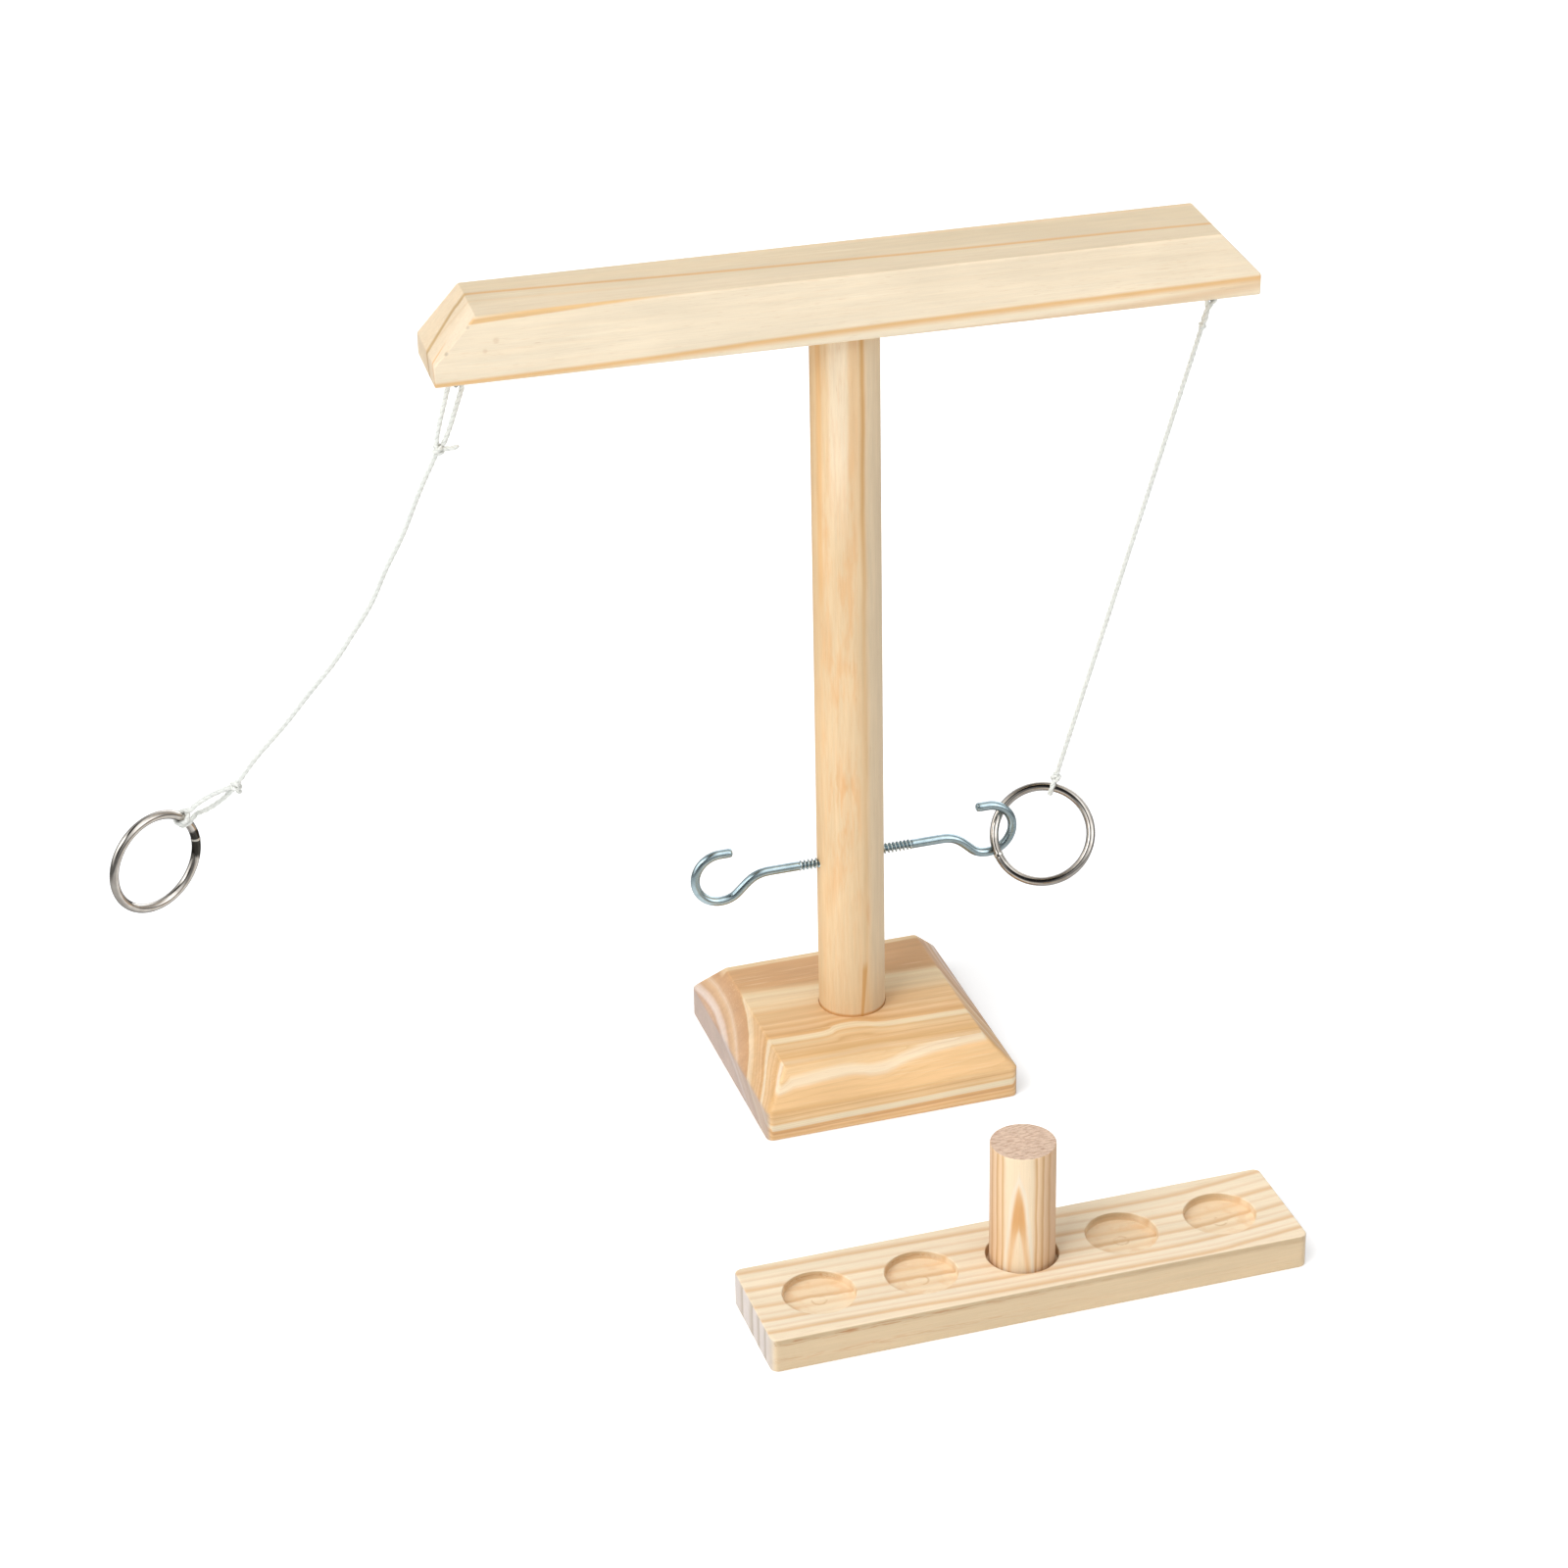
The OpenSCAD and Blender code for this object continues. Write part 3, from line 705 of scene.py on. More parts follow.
class Value:
    """A number that nodes work out; sums and products of it make more nodes."""

    __add__ = __radd__ = by_node("ADD")
    __mul__ = by_node("MULTIPLY")
    __truediv__ = by_node("DIVIDE")
    __pow__ = by_node("POWER")
    __abs__ = by_node("ABSOLUTE")

    def __init__(self, nodes, socket):
        self.nodes, self.socket = nodes, socket

    def __sub__(self, other):
        return self + other * -1.0

    def __rsub__(self, other):
        return self * -1.0 + other

    def ramp(self, low, high, to_low=0.0, to_high=1.0, kind="LINEAR"):
        made = self.nodes.add("ShaderNodeMapRange", self, low, high, to_low, to_high,
                              interpolation_type=kind)
        return Value(self.nodes, made.outputs[0])

    def soft(self, *limits):
        """Like ramp, with eased ends."""
        return self.ramp(*limits, kind="SMOOTHSTEP")

    def window(self, low, high, edge):
        """One between low and high, falling to nothing within edge on either side."""
        return self.soft(low - edge, low + edge) * self.soft(high - edge, high + edge, 1.0, 0.0)

    def streak(self, centre, width, tail):
        """One line: it gathers slowly on one side and ends sharply on the other."""
        off = self - centre
        return off.soft(-width, 0.0) * off.soft(0.0, width * tail, 1.0, 0.0)

    def profile(self, *points):
        """A smooth height read off through chosen (value, height) points."""
        low, high = points[0][0], points[-1][0]
        least = min(y for _, y in points)
        span = max(y for _, y in points) - least
        made = self.nodes.add("ShaderNodeFloatCurve", 1.0, self.ramp(low, high))
        line = made.mapping.curves[0]
        places = [((x - low) / (high - low), (y - least) / span) for x, y in points]
        line.points[0].location = places[0]
        line.points[-1].location = places[-1]
        for p in places[1:-1]:
            line.points.new(*p)
        made.mapping.update()
        return Value(self.nodes, made.outputs[0]) * span + least

    def bands(self, *stops):
        """A colour by distance through given (distance, colour) layers."""
        if len(stops) > 30:  # one ramp holds 32 stops
            half = len(stops) // 2
            past = self.nodes.math("GREATER_THAN", self, stops[half][0])
            return self.nodes.mix(past, self.bands(*stops[:half + 1]), self.bands(*stops[half:]))
        low, high = stops[0][0], stops[-1][0]
        made = self.nodes.add("ShaderNodeValToRGB", self.ramp(low, high))
        band = made.color_ramp
        band.elements.remove(band.elements[-1])
        for i, (distance, colour) in enumerate(stops):
            place = (distance - low) / (high - low)
            mark = band.elements.new(place) if i else band.elements[0]
            mark.position = place
            mark.color = tone(colour)
        return made.outputs["Color"]


class Nodes:
    """A node tree with short calls for the nodes that are used often."""

    def __init__(self, tree):
        self.tree = tree

    def put(self, socket, value):
        if isinstance(value, Value):
            value = value.socket
        if isinstance(value, bpy.types.NodeSocket):
            self.tree.links.new(value, socket)
        else:
            socket.default_value = value

    def add(self, kind, *values, **settings):
        made = self.tree.nodes.new(kind)
        for key, value in settings.items():
            setattr(made, key, value)
        for socket, value in zip(made.inputs, values):
            self.put(socket, value)
        return made

    def math(self, operation, *values):
        return Value(self, self.add("ShaderNodeMath", *values, operation=operation).outputs[0])

    def vector(self, operation, a, b):
        made = self.add("ShaderNodeVectorMath", a, b, operation=operation)
        if operation in ("DISTANCE", "DOT_PRODUCT"):
            return Value(self, made.outputs["Value"])
        return made.outputs[0]

    def split(self, point):
        """A vector's three numbers."""
        return [Value(self, s) for s in self.add("ShaderNodeSeparateXYZ", point).outputs]

    def ray(self, kind):
        return Value(self, self.add("ShaderNodeLightPath").outputs[kind])

    def object_mm(self, turn=0.0, centre=(0, 0, 0)):
        """Object coordinates in millimetres, counted from centre and turned about Z."""
        coords = self.add("ShaderNodeTexCoord").outputs["Object"]
        shifted = self.vector("ADD", coords, tuple(-c * MM for c in centre))
        placed = self.add("ShaderNodeMapping", shifted)
        placed.inputs["Rotation"].default_value = (0, 0, -turn)
        placed.inputs["Scale"].default_value = (1000, 1000, 1000)
        return placed.outputs[0]

    def noise(self, point, scale=1.0, detail=2.0, rough=0.5):
        made = self.add("ShaderNodeTexNoise", point)
        for key, value in (("Scale", scale), ("Detail", detail), ("Roughness", rough)):
            made.inputs[key].default_value = value
        return Value(self, made.outputs["Fac"])

    def mix(self, factor, a, b, how="MIX"):
        made = self.add("ShaderNodeMix", factor, data_type="RGBA", blend_type=how)
        self.put(made.inputs[6], a)
        self.put(made.inputs[7], b)
        return made.outputs[2]

    def lit(self, colour, light):
        """The colour times a grey."""
        grey = self.add("ShaderNodeCombineColor", light, light, light).outputs[0]
        return self.mix(1.0, colour, grey, "MULTIPLY")


class Shader(Nodes):
    """A material with one plain surface shader, and the colour painted so far."""

    def __init__(self, name, colour=None):
        self.material = bpy.data.materials.new(name)
        self.material.use_nodes = True
        super().__init__(self.material.node_tree)
        self.colour = colour

    def set(self, **values):
        """Surface inputs by name, with _ for a space."""
        for name, value in values.items():
            surface = self.tree.nodes["Principled BSDF"]
            self.put(surface.inputs[name.replace("_", " ")], value)

    def paint(self, *layers):
        """Lays (mask, colour) over the colour painted so far, one by one."""
        for mask, colour in layers:
            colour = tone(colour) if isinstance(colour, int) else colour
            self.colour = self.mix(mask, self.colour, colour)

    def bump(self, height, strength, distance):
        made = self.add("ShaderNodeBump")
        for key, value in (("Strength", strength), ("Distance", distance), ("Height", height)):
            self.put(made.inputs[key], value)
        self.set(Normal=made.outputs[0])


class Wood(Shader):
    """Pine: growth layers as a solid pattern, fine fibres along the grain, a soft sheen."""

    def __init__(self, name, grain, seed, turn=0.0, centre=(0, 0, 0)):
        super().__init__(name)
        self.mm = self.object_mm(turn, centre)
        self.seed = seed
        x, y, z = self.split(self.mm)
        self.along, self.u, self.v = (x, y, z) if grain == "x" else (z, x, y)
        self.facing = self.split(self.add("ShaderNodeTexCoord").outputs["Normal"])
        self.end = abs(self.facing["xyz".index(grain)]).ramp(0.5, 0.9)

    def grained(self, along, across, detail=2.0, rough=0.5):
        """Noise drawn out along the grain: millimetres per unit each way."""
        made = self.add("ShaderNodeCombineXYZ", self.along / along, self.u / across,
                        self.v / across)
        shift = (self.seed, self.seed * 1.7, self.seed * 0.6)
        return self.noise(self.vector("ADD", made.outputs[0], shift), 1.0, detail, rough)

    def wander(self, along, across, amount, detail=2.0):
        """A slow sideways wander of the growth layers, in millimetres."""
        return (self.grained(along, across, detail) - 0.5) * amount

    def round_layers(self, u0, v0):
        """Distance from the pith at (u0, v0)."""
        return self.math("SQRT", (self.u - u0) ** 2 + (self.v - v0) ** 2)

    def fine_lines(self, distance, pitch):
        """Many faint growth lines, each dark on its outer side."""
        line = self.math("FRACT", distance / pitch) ** 4.0
        return line * self.grained(60, 9, 1.0).ramp(0.35, 0.65)

    def dashes(self, strength, least=0.6, along=9, across=0.5):
        """Short thin marks along the grain."""
        marks = self.grained(along, across, 1.5).ramp(least, least + 0.12, 0.0, strength)
        return marks * self.grained(50, 12, 1.0).ramp(0.3, 0.6)

    def spot(self, place, size, strength):
        """A small soft mark round a place."""
        return self.vector("DISTANCE", self.mm, place).soft(size, size * 0.3, 0.0, strength)

    def finish(self, end_tone=None, roughness=0.5, fibre=0.05, mottle=0.04, relief=None):
        """Fibres, pores, mottling and end grain over the growth layers."""
        fibres = self.grained(14, 0.32, 3.0, 0.65)
        coarse = self.grained(45, 2.2, 3.0, 0.6)
        cloud = self.grained(38, 14)
        self.colour = self.lit(self.colour, fibres.ramp(0.25, 0.75, -fibre, fibre)
                               + coarse.ramp(0.3, 0.7, -mottle, mottle)
                               + cloud.ramp(0.3, 0.7, -mottle, mottle) + 1.0)
        specks = self.grained(5, 0.22, 1.0).ramp(0.68, 0.78, 0.0, 0.3)
        self.paint((specks, 0xC89460))
        if end_tone:
            self.colour = self.mix(self.end, self.colour, tone(end_tone), "MULTIPLY")
        height = fibres * 0.6 + coarse * 0.8 + specks * -0.8
        if relief:
            height = height + relief
        self.bump(height, 0.35, 0.12 * MM)
        self.set(Base_Color=self.colour, Specular_IOR_Level=0.12,
                 Roughness=fibres.ramp(0.2, 0.8, roughness - 0.07, roughness + 0.09))
        return self.material


def base_material():
    """Layers round a pith that lies under the block; every face cuts the same ones."""
    w = Wood("pine_base_wood", "x", 3.1)
    along, u, v = w.along, w.u, w.v
    top = v.soft(15, 22)
    d = w.round_layers(28, -90)
    hump = along.profile((-50, 0), (-22, 0.05), (-15, 0.5), (-8, 1.4), (-2, 1.1), (5, 0.25),
                         (12, 0), (50, 0))
    tongue = along.profile((-50, 0.1), (-20, 0), (-10, 0.35), (-4, 0.6), (1, 0.45), (6, 0.1),
                           (12, -0.15), (22, -0.35), (50, -0.55))
    waves = w.wander(70, 30, 0.7) + w.wander(24, 7, 0.35)
    d = (d + along * d.ramp(115, 119, -0.0078, -0.0125) + hump * d.window(121, 126.5, 1.0) * top
         + tongue * d.soft(128.5, 129.8)
         + along.ramp(-38, -50, 0.0, 3.0) * d.ramp(116, 119) * top
         + waves * d.ramp(114.5, 118.5).ramp(0, 1, 0.12, 1.0)
         + w.end * w.wander(9, 9, 1.3))
    w.colour = d.bands(
        (100, 0xD6B496), (103.6, 0xCCA88A), (104.6, 0xE6D4C4), (105.7, 0xE2CCB8), (106.8, 0xD0AA86),
        (108.2, 0xDBB78F), (109.3, 0xE1C5A6), (110.4, 0xD0A882), (112.3, 0xCCA27A),
        (114.45, 0xCEA276), (114.75, 0xE2C49A), (115.05, 0xEED8B4), (115.5, 0xE6CAA2),
        (115.8, 0xEED6B0), (116.3, 0xE6C89E), (116.9, 0xE8CAA0), (117.4, 0xDEB686),
        (118.4, 0xE2BC8C), (119.4, 0xDAB080), (119.9, 0xE4C092), (120.7, 0xD8AC7A),
        (121.3, 0xE6C092), (122.4, 0xD2A470), (123.2, 0xDEB27E), (123.6, 0xEAD2AC),
        (124.1, 0xECD8B6), (124.6, 0xEAD2AC), (125.1, 0xDEB684), (125.8, 0xE6C496),
        (126.7, 0xE2BC8C), (127.1, 0xD6AC7A), (127.5, 0xE4BE8E), (128.4, 0xDEB480),
        (129.6, 0xDAAE78), (130.3, 0xE6C090), (130.8, 0xEED8B8), (131.5, 0xEEDABC), (132, 0xE8C698),
        (134, 0xE6C090))
    slope = v.window(12.6, 23.7, 0.4) * w.facing[1].ramp(-0.4, -0.6)
    wall = w.facing[1].ramp(-0.85, -0.97)
    w.paint(
        (u.window(36.4, 50, 0.7) * v.ramp(21, 23) * 0.8, 0xEAD0A8),
        # the front slope runs almost along one broad layer
        (slope * d.window(126.2, 130.5, 0.35) * 0.85, 0xE9C18F),
        (w.facing[2].ramp(0.9, 0.97) * d.ramp(129.7, 130.5) * 0.75, 0xE0B886),
        (d.ramp(130.9, 132.2) * slope * 0.35, 0xE2BA8A),
        # one white and one brown layer on the front wall
        (d.window(122.75, 124.6, 0.3) * wall * 0.85, 0xE2D4B8),
        (d.window(121.5, 122.2, 0.35) * wall * 0.8, 0xC89868),
        (w.fine_lines(d, 0.62) * 0.35, 0xCD9E6A),
        (w.dashes(0.4, 0.58, 22, 0.6), 0xF0D6AE),
        (w.end * v.ramp(13, 11) * 0.6, 0xB8B0A8))
    return w.finish(0xEEEBF0, fibre=0.045, mottle=0.045)


def rotated(x, y, degrees):
    c, s = cos(radians(degrees)), sin(radians(degrees))
    return x * c + y * -s, x * s + y * c


def post_material():
    w = Wood("pine_post_wood", "z", 11.7)
    along = w.along
    a, b = rotated(w.u, w.v, 107)
    angle = w.math("ARCTAN2", b, a) * DEGREES
    angle = angle + w.wander(60, 14, 9.0) * along.ramp(300, 240)
    d = w.round_layers(14, 46) + w.wander(120, 18, 5.0) + w.wander(35, 7, 1.3)
    w.colour = d.bands((28, 0xE4C69C), (36, 0xE1C094), (44, 0xE5C89F),
                       (52, 0xE1C196), (60, 0xE6CAA2))
    blotch = w.grained(26, 5.5, 3.5, 0.62).ramp(0.47, 0.62)
    flecks = w.grained(16, 1.6, 3.0, 0.6).ramp(0.46, 0.64)
    dark = along.profile((0, 0.05), (60, 0.2), (130, 0.3), (200, 0.5), (245, 0.9), (303, 1.0))
    swing = angle + w.wander(26, 10, 7.0, 3.0)
    wide = (along - 22) * 0.12
    knot = abs(angle + along * -0.3 - 9.5).soft(wide + 3.5, wide + 0.5)
    w.paint(
        (w.fine_lines(d, 2.1) * 0.25, 0xDAB282),
        # warm blotches over the middle of the seen side
        (blotch * (angle.window(-52, 18, 9) * along.window(70, 262, 25)) * 0.6, 0xE4B480),
        (angle.window(-36, 2, 8) * along.window(98, 128, 9) * blotch * 0.65, 0xE0AC76),
        (angle.window(-56, -44, 4) * along.window(195, 310, 12) * 0.75, 0xE4B276),
        # paler and warmer strips up towards the top, and the two sides: warmer at the left, painted
        # shade at the right
        (angle.window(-28, 4, 5) * along.ramp(218, 258) * 0.85, 0xF0DCBE),
        (angle.window(6, 20, 4) * along.ramp(215, 270) * 0.45, 0xE8BE8E),
        (angle.ramp(-28, -60, 0.0, 0.4), 0xDEBA8A),
        (flecks * angle.ramp(30, 10) * 0.22, 0xDEAC78),
        (angle.ramp(28, 40) * 0.75, 0xE2CEB0),
        # the dark line at the right, the small knot at the foot, a stain, and a band of painted
        # shade round the foot where the post enters the base
        (swing.window(23.5, 31, 4) * dark * 0.85, 0xD09C5C),
        (knot * along.window(18, 46, 3) * 0.75, 0xD49E5C),
        (angle.window(26, 34, 4) * along.window(56, 72, 6) * blotch * 0.7, 0xDEAC7C),
        (along.ramp(25.2, 24.3, 0.0, 0.8), 0xCE924E))
    return w.finish(0xEEDCD6)


def bar_material():
    w = Wood("pine_bar_wood", "x", 5.3, BAR_TURN, (0, 0, POST_TOP))
    along, u, v = w.along, w.u, w.v
    main = along.profile((-150, 6.3), (-145, 6.5), (-140, 6.6), (-137, 5.6), (-134, 5.0),
                         (-130, 4.9), (-100, 3.3), (-70, 1.6), (-50, 0.5), (-20, -0.8),
                         (0, -1.6), (30, -2.8), (60, -3.5), (90, -4), (112, -4.6), (150, -6))
    d = u * -0.89 + v * 0.455 + main * 0.89 + w.wander(60, 12, 0.5)
    low = along.profile((-150, 0.6), (-118, 0.9), (-80, 1.7), (-50, 2.7), (-20, 3.5), (0, 4),
                        (30, 4.5), (60, 5), (90, 5.4), (120, 5.8), (150, 6.3))
    front = v * 0.455 + (u + 17) * -0.89 + low * -0.455 + w.wander(45, 8, 0.25)
    wide = u * -0.91 + v * 0.41 + w.wander(110, 40, 3.0)
    w.colour = wide.bands(
        (-8, 0xECD8B8), (2, 0xEAD5B4), (9, 0xE9D5B6), (14, 0xEDD9BA), (18, 0xF1DEC1),
        (24, 0xF0DCBE), (30, 0xF1DEC0))
    rim = v - along.profile((-150, 21.5), (-135, 22.6), (-110, 23.6), (-80, 24.7), (150, 27))
    skim = (rim.soft(-0.7, 0.1) * rim.ramp(2.2, 1.2) * u.ramp(-15.2, -16.4)
            * along.ramp(-60, -86))
    w.paint(
        (w.fine_lines(wide, 2.6) * 0.2, 0xE2C094),
        (w.dashes(0.4, 0.6, 7, 0.45), 0xE0BE94),
        (w.dashes(0.4, 0.6, 26, 0.8), 0xFAEED6),
        # painted shade makes the top a little darker than the front, and painted light makes the
        # front paler
        (w.facing[2].ramp(0.75, 0.92) * along.ramp(-60, 70, 0.36, 0.5), 0xBAA786),
        (w.facing[1].ramp(-0.75, -0.92) * along.ramp(-60, 70, 0.4, 0.25), 0xFFF1D7),
        (d.streak(11.9, 1.9, 0.7) * 0.85, 0xD4A46A),
        (d.streak(12.2, 2.6, 0.5) * along.ramp(-132, -136, 0.0, 0.8), 0xC0A476),
        (u.window(13.6, 15.6, 0.9) * along.ramp(-90, 40, 0.1, 0.6), 0xE4C49C),
        ((u + along * 0.06).window(-11.4, -9.8, 0.8) * along.ramp(-60, -90, 0.0, 0.35), 0xDEBC8C),
        # on the front: pale below a warm line, which thins out upwards
        (front.ramp(0.0, -0.35) * w.facing[1].ramp(-0.3, -0.7) * 0.45, 0xF6E6CB),
        (front.streak(0.35, 1.25, 0.5) * v.ramp(15, 11, 0.0, 0.9), 0xE8BA7E),
        # a warm layer that skims the front top edge at the left
        (skim * 0.85, 0xE8BC80),
        (w.spot((-137.7, -17, 21.5), 1.0, 0.35), 0xA88C70),
        (w.spot((-145.7, -17, 12.7), 1.2, 0.45), 0x9E866E),
        (w.spot((-128, -17, 15.5), 1.6, 0.3), 0xD6B28A),
        (w.spot((-132, -17, 12.0), 1.2, 0.3), 0xD6B28A))
    return w.finish(0xF8F6F8, fibre=0.04, mottle=0.035)


def board_material():
    w = Wood("pine_board_wood", "x", 8.9, centre=(BOARD_X, BOARD_Y, 0))
    along, u, v = w.along, w.u, w.v
    bend = along.profile((-100, -0.3), (-95, 0), (-58, 0.8), (-20, 1.9), (20, 2.9), (56, 3.6),
                         (76, 2.2), (94, 0), (100, -0.8))
    d = (23.0 - u - bend + (BOARD_HIGH - v) * 0.19 + w.wander(60, 14, 1.6)
         + w.wander(18, 5, 0.5))
    w.colour = d.bands((-8, 0xEEDBBE), (12, 0xF0DEC2), (24, 0xEEDBBE),
                       (36, 0xF1E0C6), (52, 0xECD6B6))
    for centre, width, strength in ((3.4, 3.0, 0.8), (14.6, 3.2, 0.85), (25.2, 2.8, 0.75),
                                    (33.6, 2.8, 0.85), (40.9, 2.8, 0.85), (8.6, 1.8, 0.35),
                                    (19.6, 2.0, 0.35), (29.6, 1.6, 0.35), (37.3, 1.4, 0.3)):
        w.paint((d.streak(centre, width, 0.5) * strength, 0xDEB88C))
    face = w.facing[1].ramp(-0.6, -0.95)
    side = (w.grained(7, 0.5).ramp(0.48, 0.6)
            * (v.window(10.4, 12.2, 0.6) + v.window(3.4, 5.4, 0.8))
            * along.ramp(40, -70, 0.2, 1.0) * face)
    # marks of the drill on the recess floors
    x = (w.math("FRACT", along * (1 / RECESS_PITCH) + 0.5) - 0.5) * RECESS_PITCH
    r = w.math("SQRT", x * x + u * u)
    floor = v.ramp(BOARD_HIGH - 1.6, BOARD_HIGH - 3.1)
    wall = v.window(9.9, 12.8, 0.15) * r.window(12.4, 13.3, 0.1)
    ripple = d + w.wander(11, 6, 3.0)
    curl = r.window(2.2, 2.9, 0.35) * floor * w.noise(w.mm, 0.35, 1.0).ramp(0.46, 0.56)
    rub = w.noise(w.vector("MULTIPLY", w.mm, (1, 1, 0.1)), 0.22, 2.0).ramp(0.5, 0.66)
    butt = (23.0 - u + w.wander(9, 9, 1.2)).bands(
        (0, 0xC0B19E), (1.1, 0xB6A796), (3.5, 0xD5CAC3), (8, 0xD0C4BC),
        (11.4, 0xB6A796), (12.4, 0xD5CAC3), (18.2, 0xD5CAC3), (21, 0xC6B9AB),
        (23.4, 0xB6A796), (24.3, 0xD5CAC3), (27.5, 0xD5CAC3),
        (31, 0xB6A796), (32, 0xD5CAC3), (35.5, 0xD5CAC3),
        (38.4, 0xB6A796), (39.3, 0xD5CAC3), (46, 0xCCBDAA))
    w.paint(
        (w.dashes(0.35, 0.6, 10, 0.5), 0xDEBC96),
        # painted shade: the front face darker than the top
        (face * 0.85, 0xBEA683),
        (side, 0xB68860),
        (floor * 0.4, 0xF0D8B4),
        (floor * d.ramp(22.0, 20.4) * 0.35, 0xDEBA8E),
        (ripple.streak(21.0, 2.4, 0.5) * (floor * 0.7), 0xCEA272),
        (curl * 0.5, 0xCCA478),
        (r.window(6.0, 12.2, 1.0) * floor * rub * 0.4, 0xE2B88A),
        # painted shade on the recess walls
        (wall * 0.3, 0xE8C89E),
        (w.end * abs(along).ramp(97.5, 98.5), butt))
    return w.finish(fibre=0.045, mottle=0.03,
                    relief=w.math("SINE", r * 4.2) * floor * 0.25)


def peg_material():
    w = Wood("pine_peg_wood", "z", 2.2, centre=(BOARD_X, BOARD_Y, PEG_Z))
    along, u, v = w.along, w.u, w.v
    off = abs(u * 0.893 + v * -0.451 + w.wander(26, 5, 0.9) + w.wander(9, 2.5, 0.3))
    front = (u * -0.451 + v * -0.893).ramp(-2, 3)
    w.colour = off.bands(
        (0, 0xEED8B8), (4.6, 0xEED8B8), (5.4, 0xE6C8A2), (6, 0xD4A878), (6.5, 0xEACCA8),
        (7.4, 0xE2C098), (8.1, 0xCEA274), (8.6, 0xE6C8A6), (9.6, 0xDCB892), (10.1, 0xC89C72),
        (10.6, 0xDEBE9C), (11.7, 0xD4B08E))
    # curved layers cut lengthwise: a flame with its tip upwards
    beyond = off - along.profile((0, 4.1), (6, 3.8), (15, 3.1), (24, 2.3), (32, 1.4), (37, 0.5),
                                 (40, -0.5), (50, -2.5))
    within = off - along.profile((0, 2.7), (6, 2.2), (12, 1.4), (18, 0.5), (22, -0.5),
                                 (50, -3.0))
    high = along.window(18, 36, 7)
    flame = beyond.soft(0.7, -0.7) * within.soft(-0.5, 0.9) * front
    grain = w.noise(w.vector("MULTIPLY", w.mm, (0.35, 1.5, 1.0)), 1.0, 3.0, 0.65)
    w.paint(
        (w.fine_lines(off, 0.9) * 0.3, 0xCEA072),
        (beyond.window(0.5, 1.5, 0.5) * front * 0.7, 0xEADCC8),
        (flame * high.ramp(0.0, 1.0, 0.6, 0.9), w.mix(high, tone(0xE2B27C), tone(0xD69E62))),
        # painted shade on the right side
        ((u * 0.95 + v * -0.1).ramp(5.5, 10.5) * 0.5, 0xDCBEA0),
        # the cut top
        (w.facing[2].ramp(0.6, 0.95),
         w.mix(grain.ramp(0.44, 0.62), tone(0xDEC4AE), tone(0xBE9C86))))
    return w.finish(roughness=0.52, fibre=0.045, mottle=0.03)


def metal_material(name, colour, roughness, scratch, dent, tarnish, marks):
    """Bare metal; marks lays painted shade, highlights and reflections over the skin."""
    m = Shader(name, tone(colour))
    mm = m.object_mm()
    wide = m.noise(mm, 0.35, 2.0)
    lines = m.noise(m.vector("MULTIPLY", mm, (0.25, 0.25, 4.0)), 2.0, 2.0)
    m.paint((wide.ramp(0.35, 0.7, 0.0, 0.55), tarnish))
    marks(m, mm)
    m.bump(m.noise(mm, 6.0, 3.0, 0.6) * scratch + wide * dent, 0.25, 0.05 * MM)
    m.set(Base_Color=m.colour, Metallic=1.0, Specular_Tint=(0.35, 0.36, 0.38, 1),
          Roughness=(wide.ramp(0.3, 0.7, roughness - 0.04, roughness + 0.05)
                     + lines.ramp(0.4, 0.7, -0.02, 0.03)))
    return m.material


def thread_shade_and_highlight(m, mm):
    """Painted shade in a screw thread's grooves and painted highlights on its crests; a thread's
    first uv is negative.
    """
    on, off, _ = m.split(m.add("ShaderNodeUVMap", uv_map="lay").outputs[0])
    on = on.ramp(-0.3, -0.8)
    m.paint((on * off.ramp(0.4, 0.1) * 0.8, 0xECF4F4),
            (on * off.ramp(0.5, 0.85) * 0.7, 0x5C686E))


def weld_reflection(centre, lay, at, strength):
    """A painted dark reflection band on both sides of a ring's weld; the weld itself stays pale."""
    across, along, _ = ring_axes(*lay)

    def paint(m, mm):
        p = m.vector("ADD", mm, tuple(-c for c in centre))
        u, v = rotated(*(m.vector("DOT_PRODUCT", p, tuple(way)) for way in (along, across)), at)
        off = m.math("ARCTAN2", u, v) * DEGREES  # the ring angle counted from the weld
        ragged = (m.noise(mm, 0.45, 3.0, 0.6) - 0.5) * 22.0
        # painted dark reflection band near the weld, and the pale weld
        m.paint(((off + ragged).window(-22, 14, 3.5) * strength, 0x1A1A16),
                (off.window(-0.4, 2.2, 0.4) * 0.9, 0xE2DED4))

    return paint


def cord_material():
    m = Shader("cotton_twist", tone(0xF3F4F0))
    along, around, _ = m.split(m.add("ShaderNodeUVMap", uv_map="lay").outputs[0])
    # yarn that runs across each ply, against the lay
    yarn = m.math("SINE", (along * 9.0 + around * 5.0) * TAU)
    mm = m.object_mm()
    fuzz = m.noise(mm, 3.5, 3.0, 0.7)
    # painted shade in the groove between the two plies
    ply = abs(m.math("FRACT", (around - along) * 2.0) - 0.5)
    m.paint((fuzz.ramp(0.3, 0.75), 0xE3E5DF),
            (m.noise(mm, 0.12, 2.0).ramp(0.35, 0.7, 0.0, 0.35), 0xF4F3EA),
            (yarn.ramp(-1, -0.4, 0.2, 0.0), 0xDEDFD7),
            (ply.ramp(0.15, 0.0, 0.0, 0.5), 0xB2B6AC))
    m.bump(yarn * 0.5 + fuzz * 1.2, 0.5, 0.12 * MM)
    m.set(Base_Color=m.colour, Roughness=fuzz.ramp(0.2, 0.8, 0.8, 0.95), Sheen_Weight=0.3,
          Sheen_Roughness=0.5, Specular_IOR_Level=0.2)
    return m.material


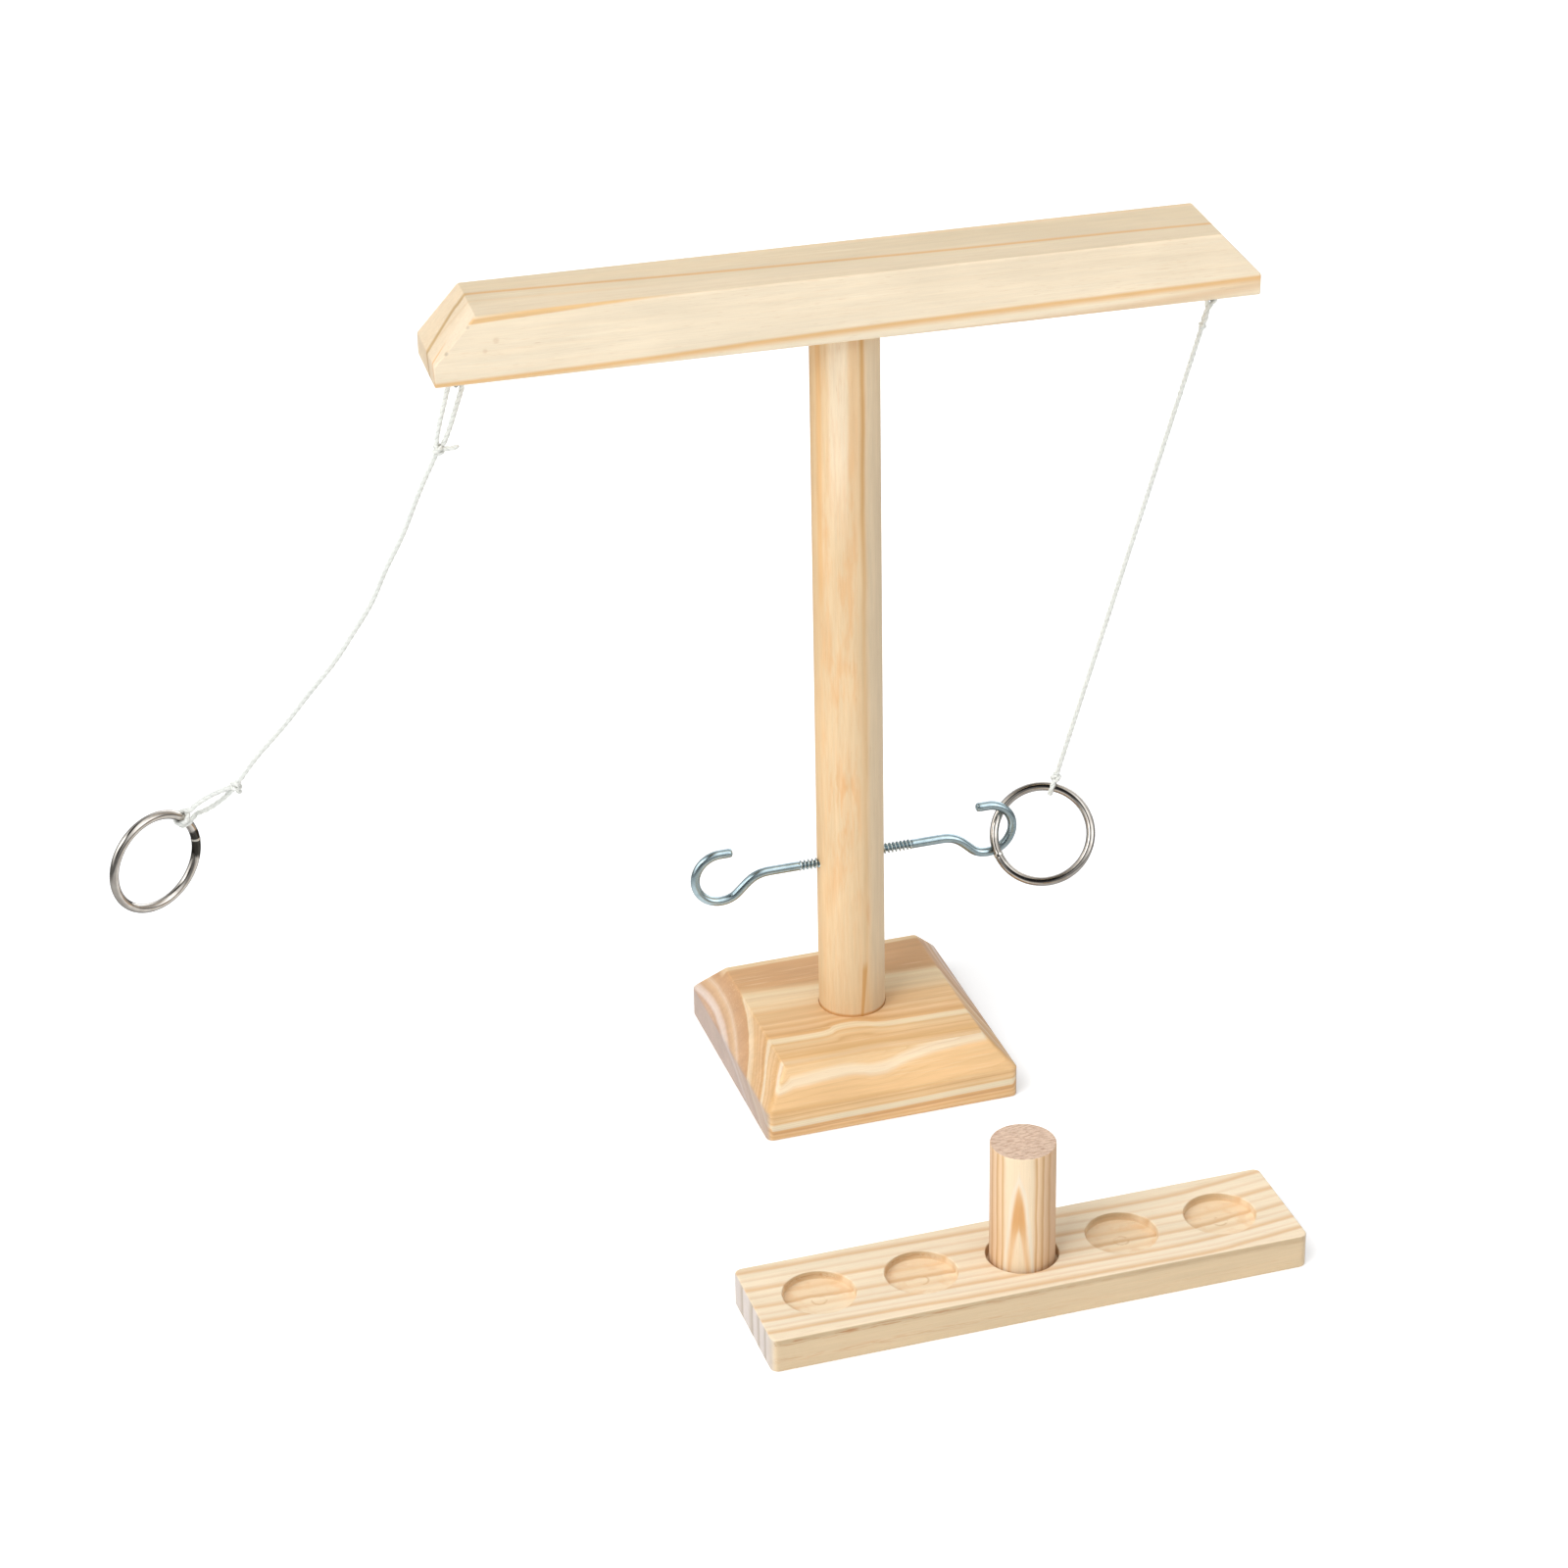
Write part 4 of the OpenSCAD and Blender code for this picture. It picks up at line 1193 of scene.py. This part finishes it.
zinc = metal_material("zinc_plate", 0xB2C4C9, 0.22, 0.5, 1.0, 0x90A4AB, thread_shade_and_highlight)
zinc_eye = metal_material("zinc_plate_eye", 0xCECEC6, 0.3, 0.5, 1.0, 0xAAA89C, thread_shade_and_highlight)
NICKEL = (0xC3BDB5, 0.08, 0.12, 0.5, 0xA49B93)
left_nickel = metal_material("nickel_plate_left", *NICKEL,
                             weld_reflection(LEFT_RING, LEFT_LAY, LEFT_WELD, 0.92))
right_nickel = metal_material("nickel_plate_right", *NICKEL,
                              weld_reflection(RIGHT_RING, RIGHT_LAY, RIGHT_WELD, 0.3))
cotton = ("cotton_cord", cord_material())

# each piece with its body, the nodes it stands for, its slot and its material
PIECES = [
    (base, "stand", ["base_block"], "pine_base", base_material()),
    (post, "stand", ["post"], "pine_post", post_material()),
    (bar, "stand", ["crossbar"], "pine_bar", bar_material()),
    (board, "score_board", ["ladder_board"], "pine_board", board_material()),
    (peg, "peg", ["score_peg"], "pine_peg", peg_material()),
    (left_hook, "stand", ["left_hook"], "zinc_steel", zinc),
    (right_hook, "stand", ["right_hook"], "zinc_steel", zinc),
    (left_eye, "stand", ["left_eye"], "zinc_eye", zinc_eye),
    (right_eye, "stand", ["right_eye"], "zinc_eye", zinc_eye),
    (left_ring, "left_tossing_ring", ["left_ring"], "nickel_ring", left_nickel),
    (right_ring, "right_tossing_ring", ["right_ring"], "nickel_ring", right_nickel),
    (left_cord, None, ["left_string_upper", "left_string_lower"], *cotton),
    (left_top_loop, "left_loop", ["left_top_loop"], *cotton),
    (left_top_knot, "left_loop", ["left_top_knot"], *cotton),
    (left_ring_loop, "left_hitch", ["left_ring_loop"], *cotton),
    (left_ring_knot, "left_hitch", ["left_ring_knot"], *cotton),
    (right_cord, "right_cord", ["right_string"], *cotton),
    (right_top_loop, "right_cord", ["right_top_loop"], *cotton),
    (right_top_knot, "right_cord", ["right_top_knot"], *cotton),
    (right_ring_loop, "right_cord", ["right_ring_loop"], *cotton),
    (right_ring_knot, "right_cord", ["right_ring_knot"], *cotton),
]
for piece, body, nodes, slot, material in PIECES:
    if body:
        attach(piece, body)
    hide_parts(*nodes)
    piece.data.materials.append(material)
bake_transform(left_cord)


# floor and light ------------

# what bare metal mirrors: bright cards with dark gaps between them, each with its
# direction, sharpness and strength
CARDS = [((-0.635, -0.281, 0.72), 45, 5.0), ((0.63, -0.661, 0.407), 20, 2.6),
         ((-0.03, -0.364, 0.931), 5.7, 3.6), ((0.548, 0.835, -0.045), 5.8, 4.0),
         ((-0.402, -0.246, 0.882), 6.1, -4.3), ((-0.795, 0.097, 0.599), 8.3, 3.5)]
# lamp boxes that light the wood: direction, outer and inner cosine, strength
BOXES = [((-0.8, -0.55, 0.3), 0.93, 0.96, 2.4), ((0.85, -0.45, 0.2), 0.955, 0.98, 2.2)]


def make_floor():
    bm = bmesh.new()
    bmesh.ops.create_grid(bm, x_segments=4, y_segments=4, size=6000)
    bmesh.ops.translate(bm, vec=(0, 2000, -0.15), verts=bm.verts)
    floor = from_bmesh("studio_floor", bm)
    m = Shader("pale_floor")
    mm = m.object_mm()
    # painted reflection: to bare metal the floor shows a pool of light that is brightest under the
    # left ring, in a dimmer room
    mirrored_light_pool = (m.vector("DISTANCE", mm, (-60, -60, 0)).soft(300, 620, 0.62, 0.16)
             + m.vector("DISTANCE", mm, (-90, -30, 0)).soft(50, 190, 0.45, 0.0))
    light = m.ray("Is Glossy Ray") * (mirrored_light_pool - 1.0) + 1.0
    white = m.mix(m.noise(mm, 0.004, 2.0).ramp(0.3, 0.7), tone(0xFDFDFD), tone(0xFAFAFA))
    m.set(Base_Color=m.lit(white, light), Roughness=0.8, Specular_IOR_Level=0.05,
          Emission_Color=(1, 1, 1, 1),
          Emission_Strength=m.ray("Is Camera Ray").ramp(0, 1, 0.1, 0.22) * light)
    floor.data.materials.append(m.material)


def make_sky():
    """A bright overhead sweep, a lamp box on either side and dark studio walls."""
    world = bpy.data.worlds.new("studio")
    bpy.context.scene.world = world
    world.use_nodes = True
    n = Nodes(world.node_tree)
    way = n.add("ShaderNodeTexCoord").outputs["Generated"]

    def towards(direction):
        return n.vector("DOT_PRODUCT", way, tuple(Vector(direction).normalized()))

    level = n.split(way)[2].soft(0.45, 0.7, 0.05, 0.6)
    for direction, outer, inner, strength in BOXES:
        level = level + towards(direction).soft(outer, inner, 0.0, strength)
    cards = 0.25
    for direction, sharpness, strength in CARDS:
        cards = cards + n.math("EXPONENT", (towards(direction) - 1.0) * sharpness) * strength
    level = level + n.ray("Is Glossy Ray") * (n.math("MAXIMUM", cards, 0.02) - level)
    # the room itself is as pale as the floor
    level = level + n.ray("Is Camera Ray") * (1.0 - level)
    background = world.node_tree.nodes["Background"]
    background.inputs["Color"].default_value = (0.97, 0.985, 1.0, 1)
    n.put(background.inputs["Strength"], level)


def sun(name, strength, spread, towards, colour):
    data = bpy.data.lights.new(name, "SUN")
    data.energy = strength
    data.angle = radians(spread)
    data.color = colour
    lamp = new_object(name, data)
    lamp.rotation_euler = Vector(towards).to_track_quat("-Z", "Y").to_euler()
    lamp.visible_glossy = False  # bare metal would mirror its disc


make_floor()
make_sky()
sun("key", 1.5, 44, (0.72, 0.3, -0.85), (0.985, 0.995, 1.0))
sun("top", 0.7, 80, (0.0, 0.1, -1.0), (1.0, 1.0, 1.0))
bpy.context.scene.view_settings.view_transform = "Standard"
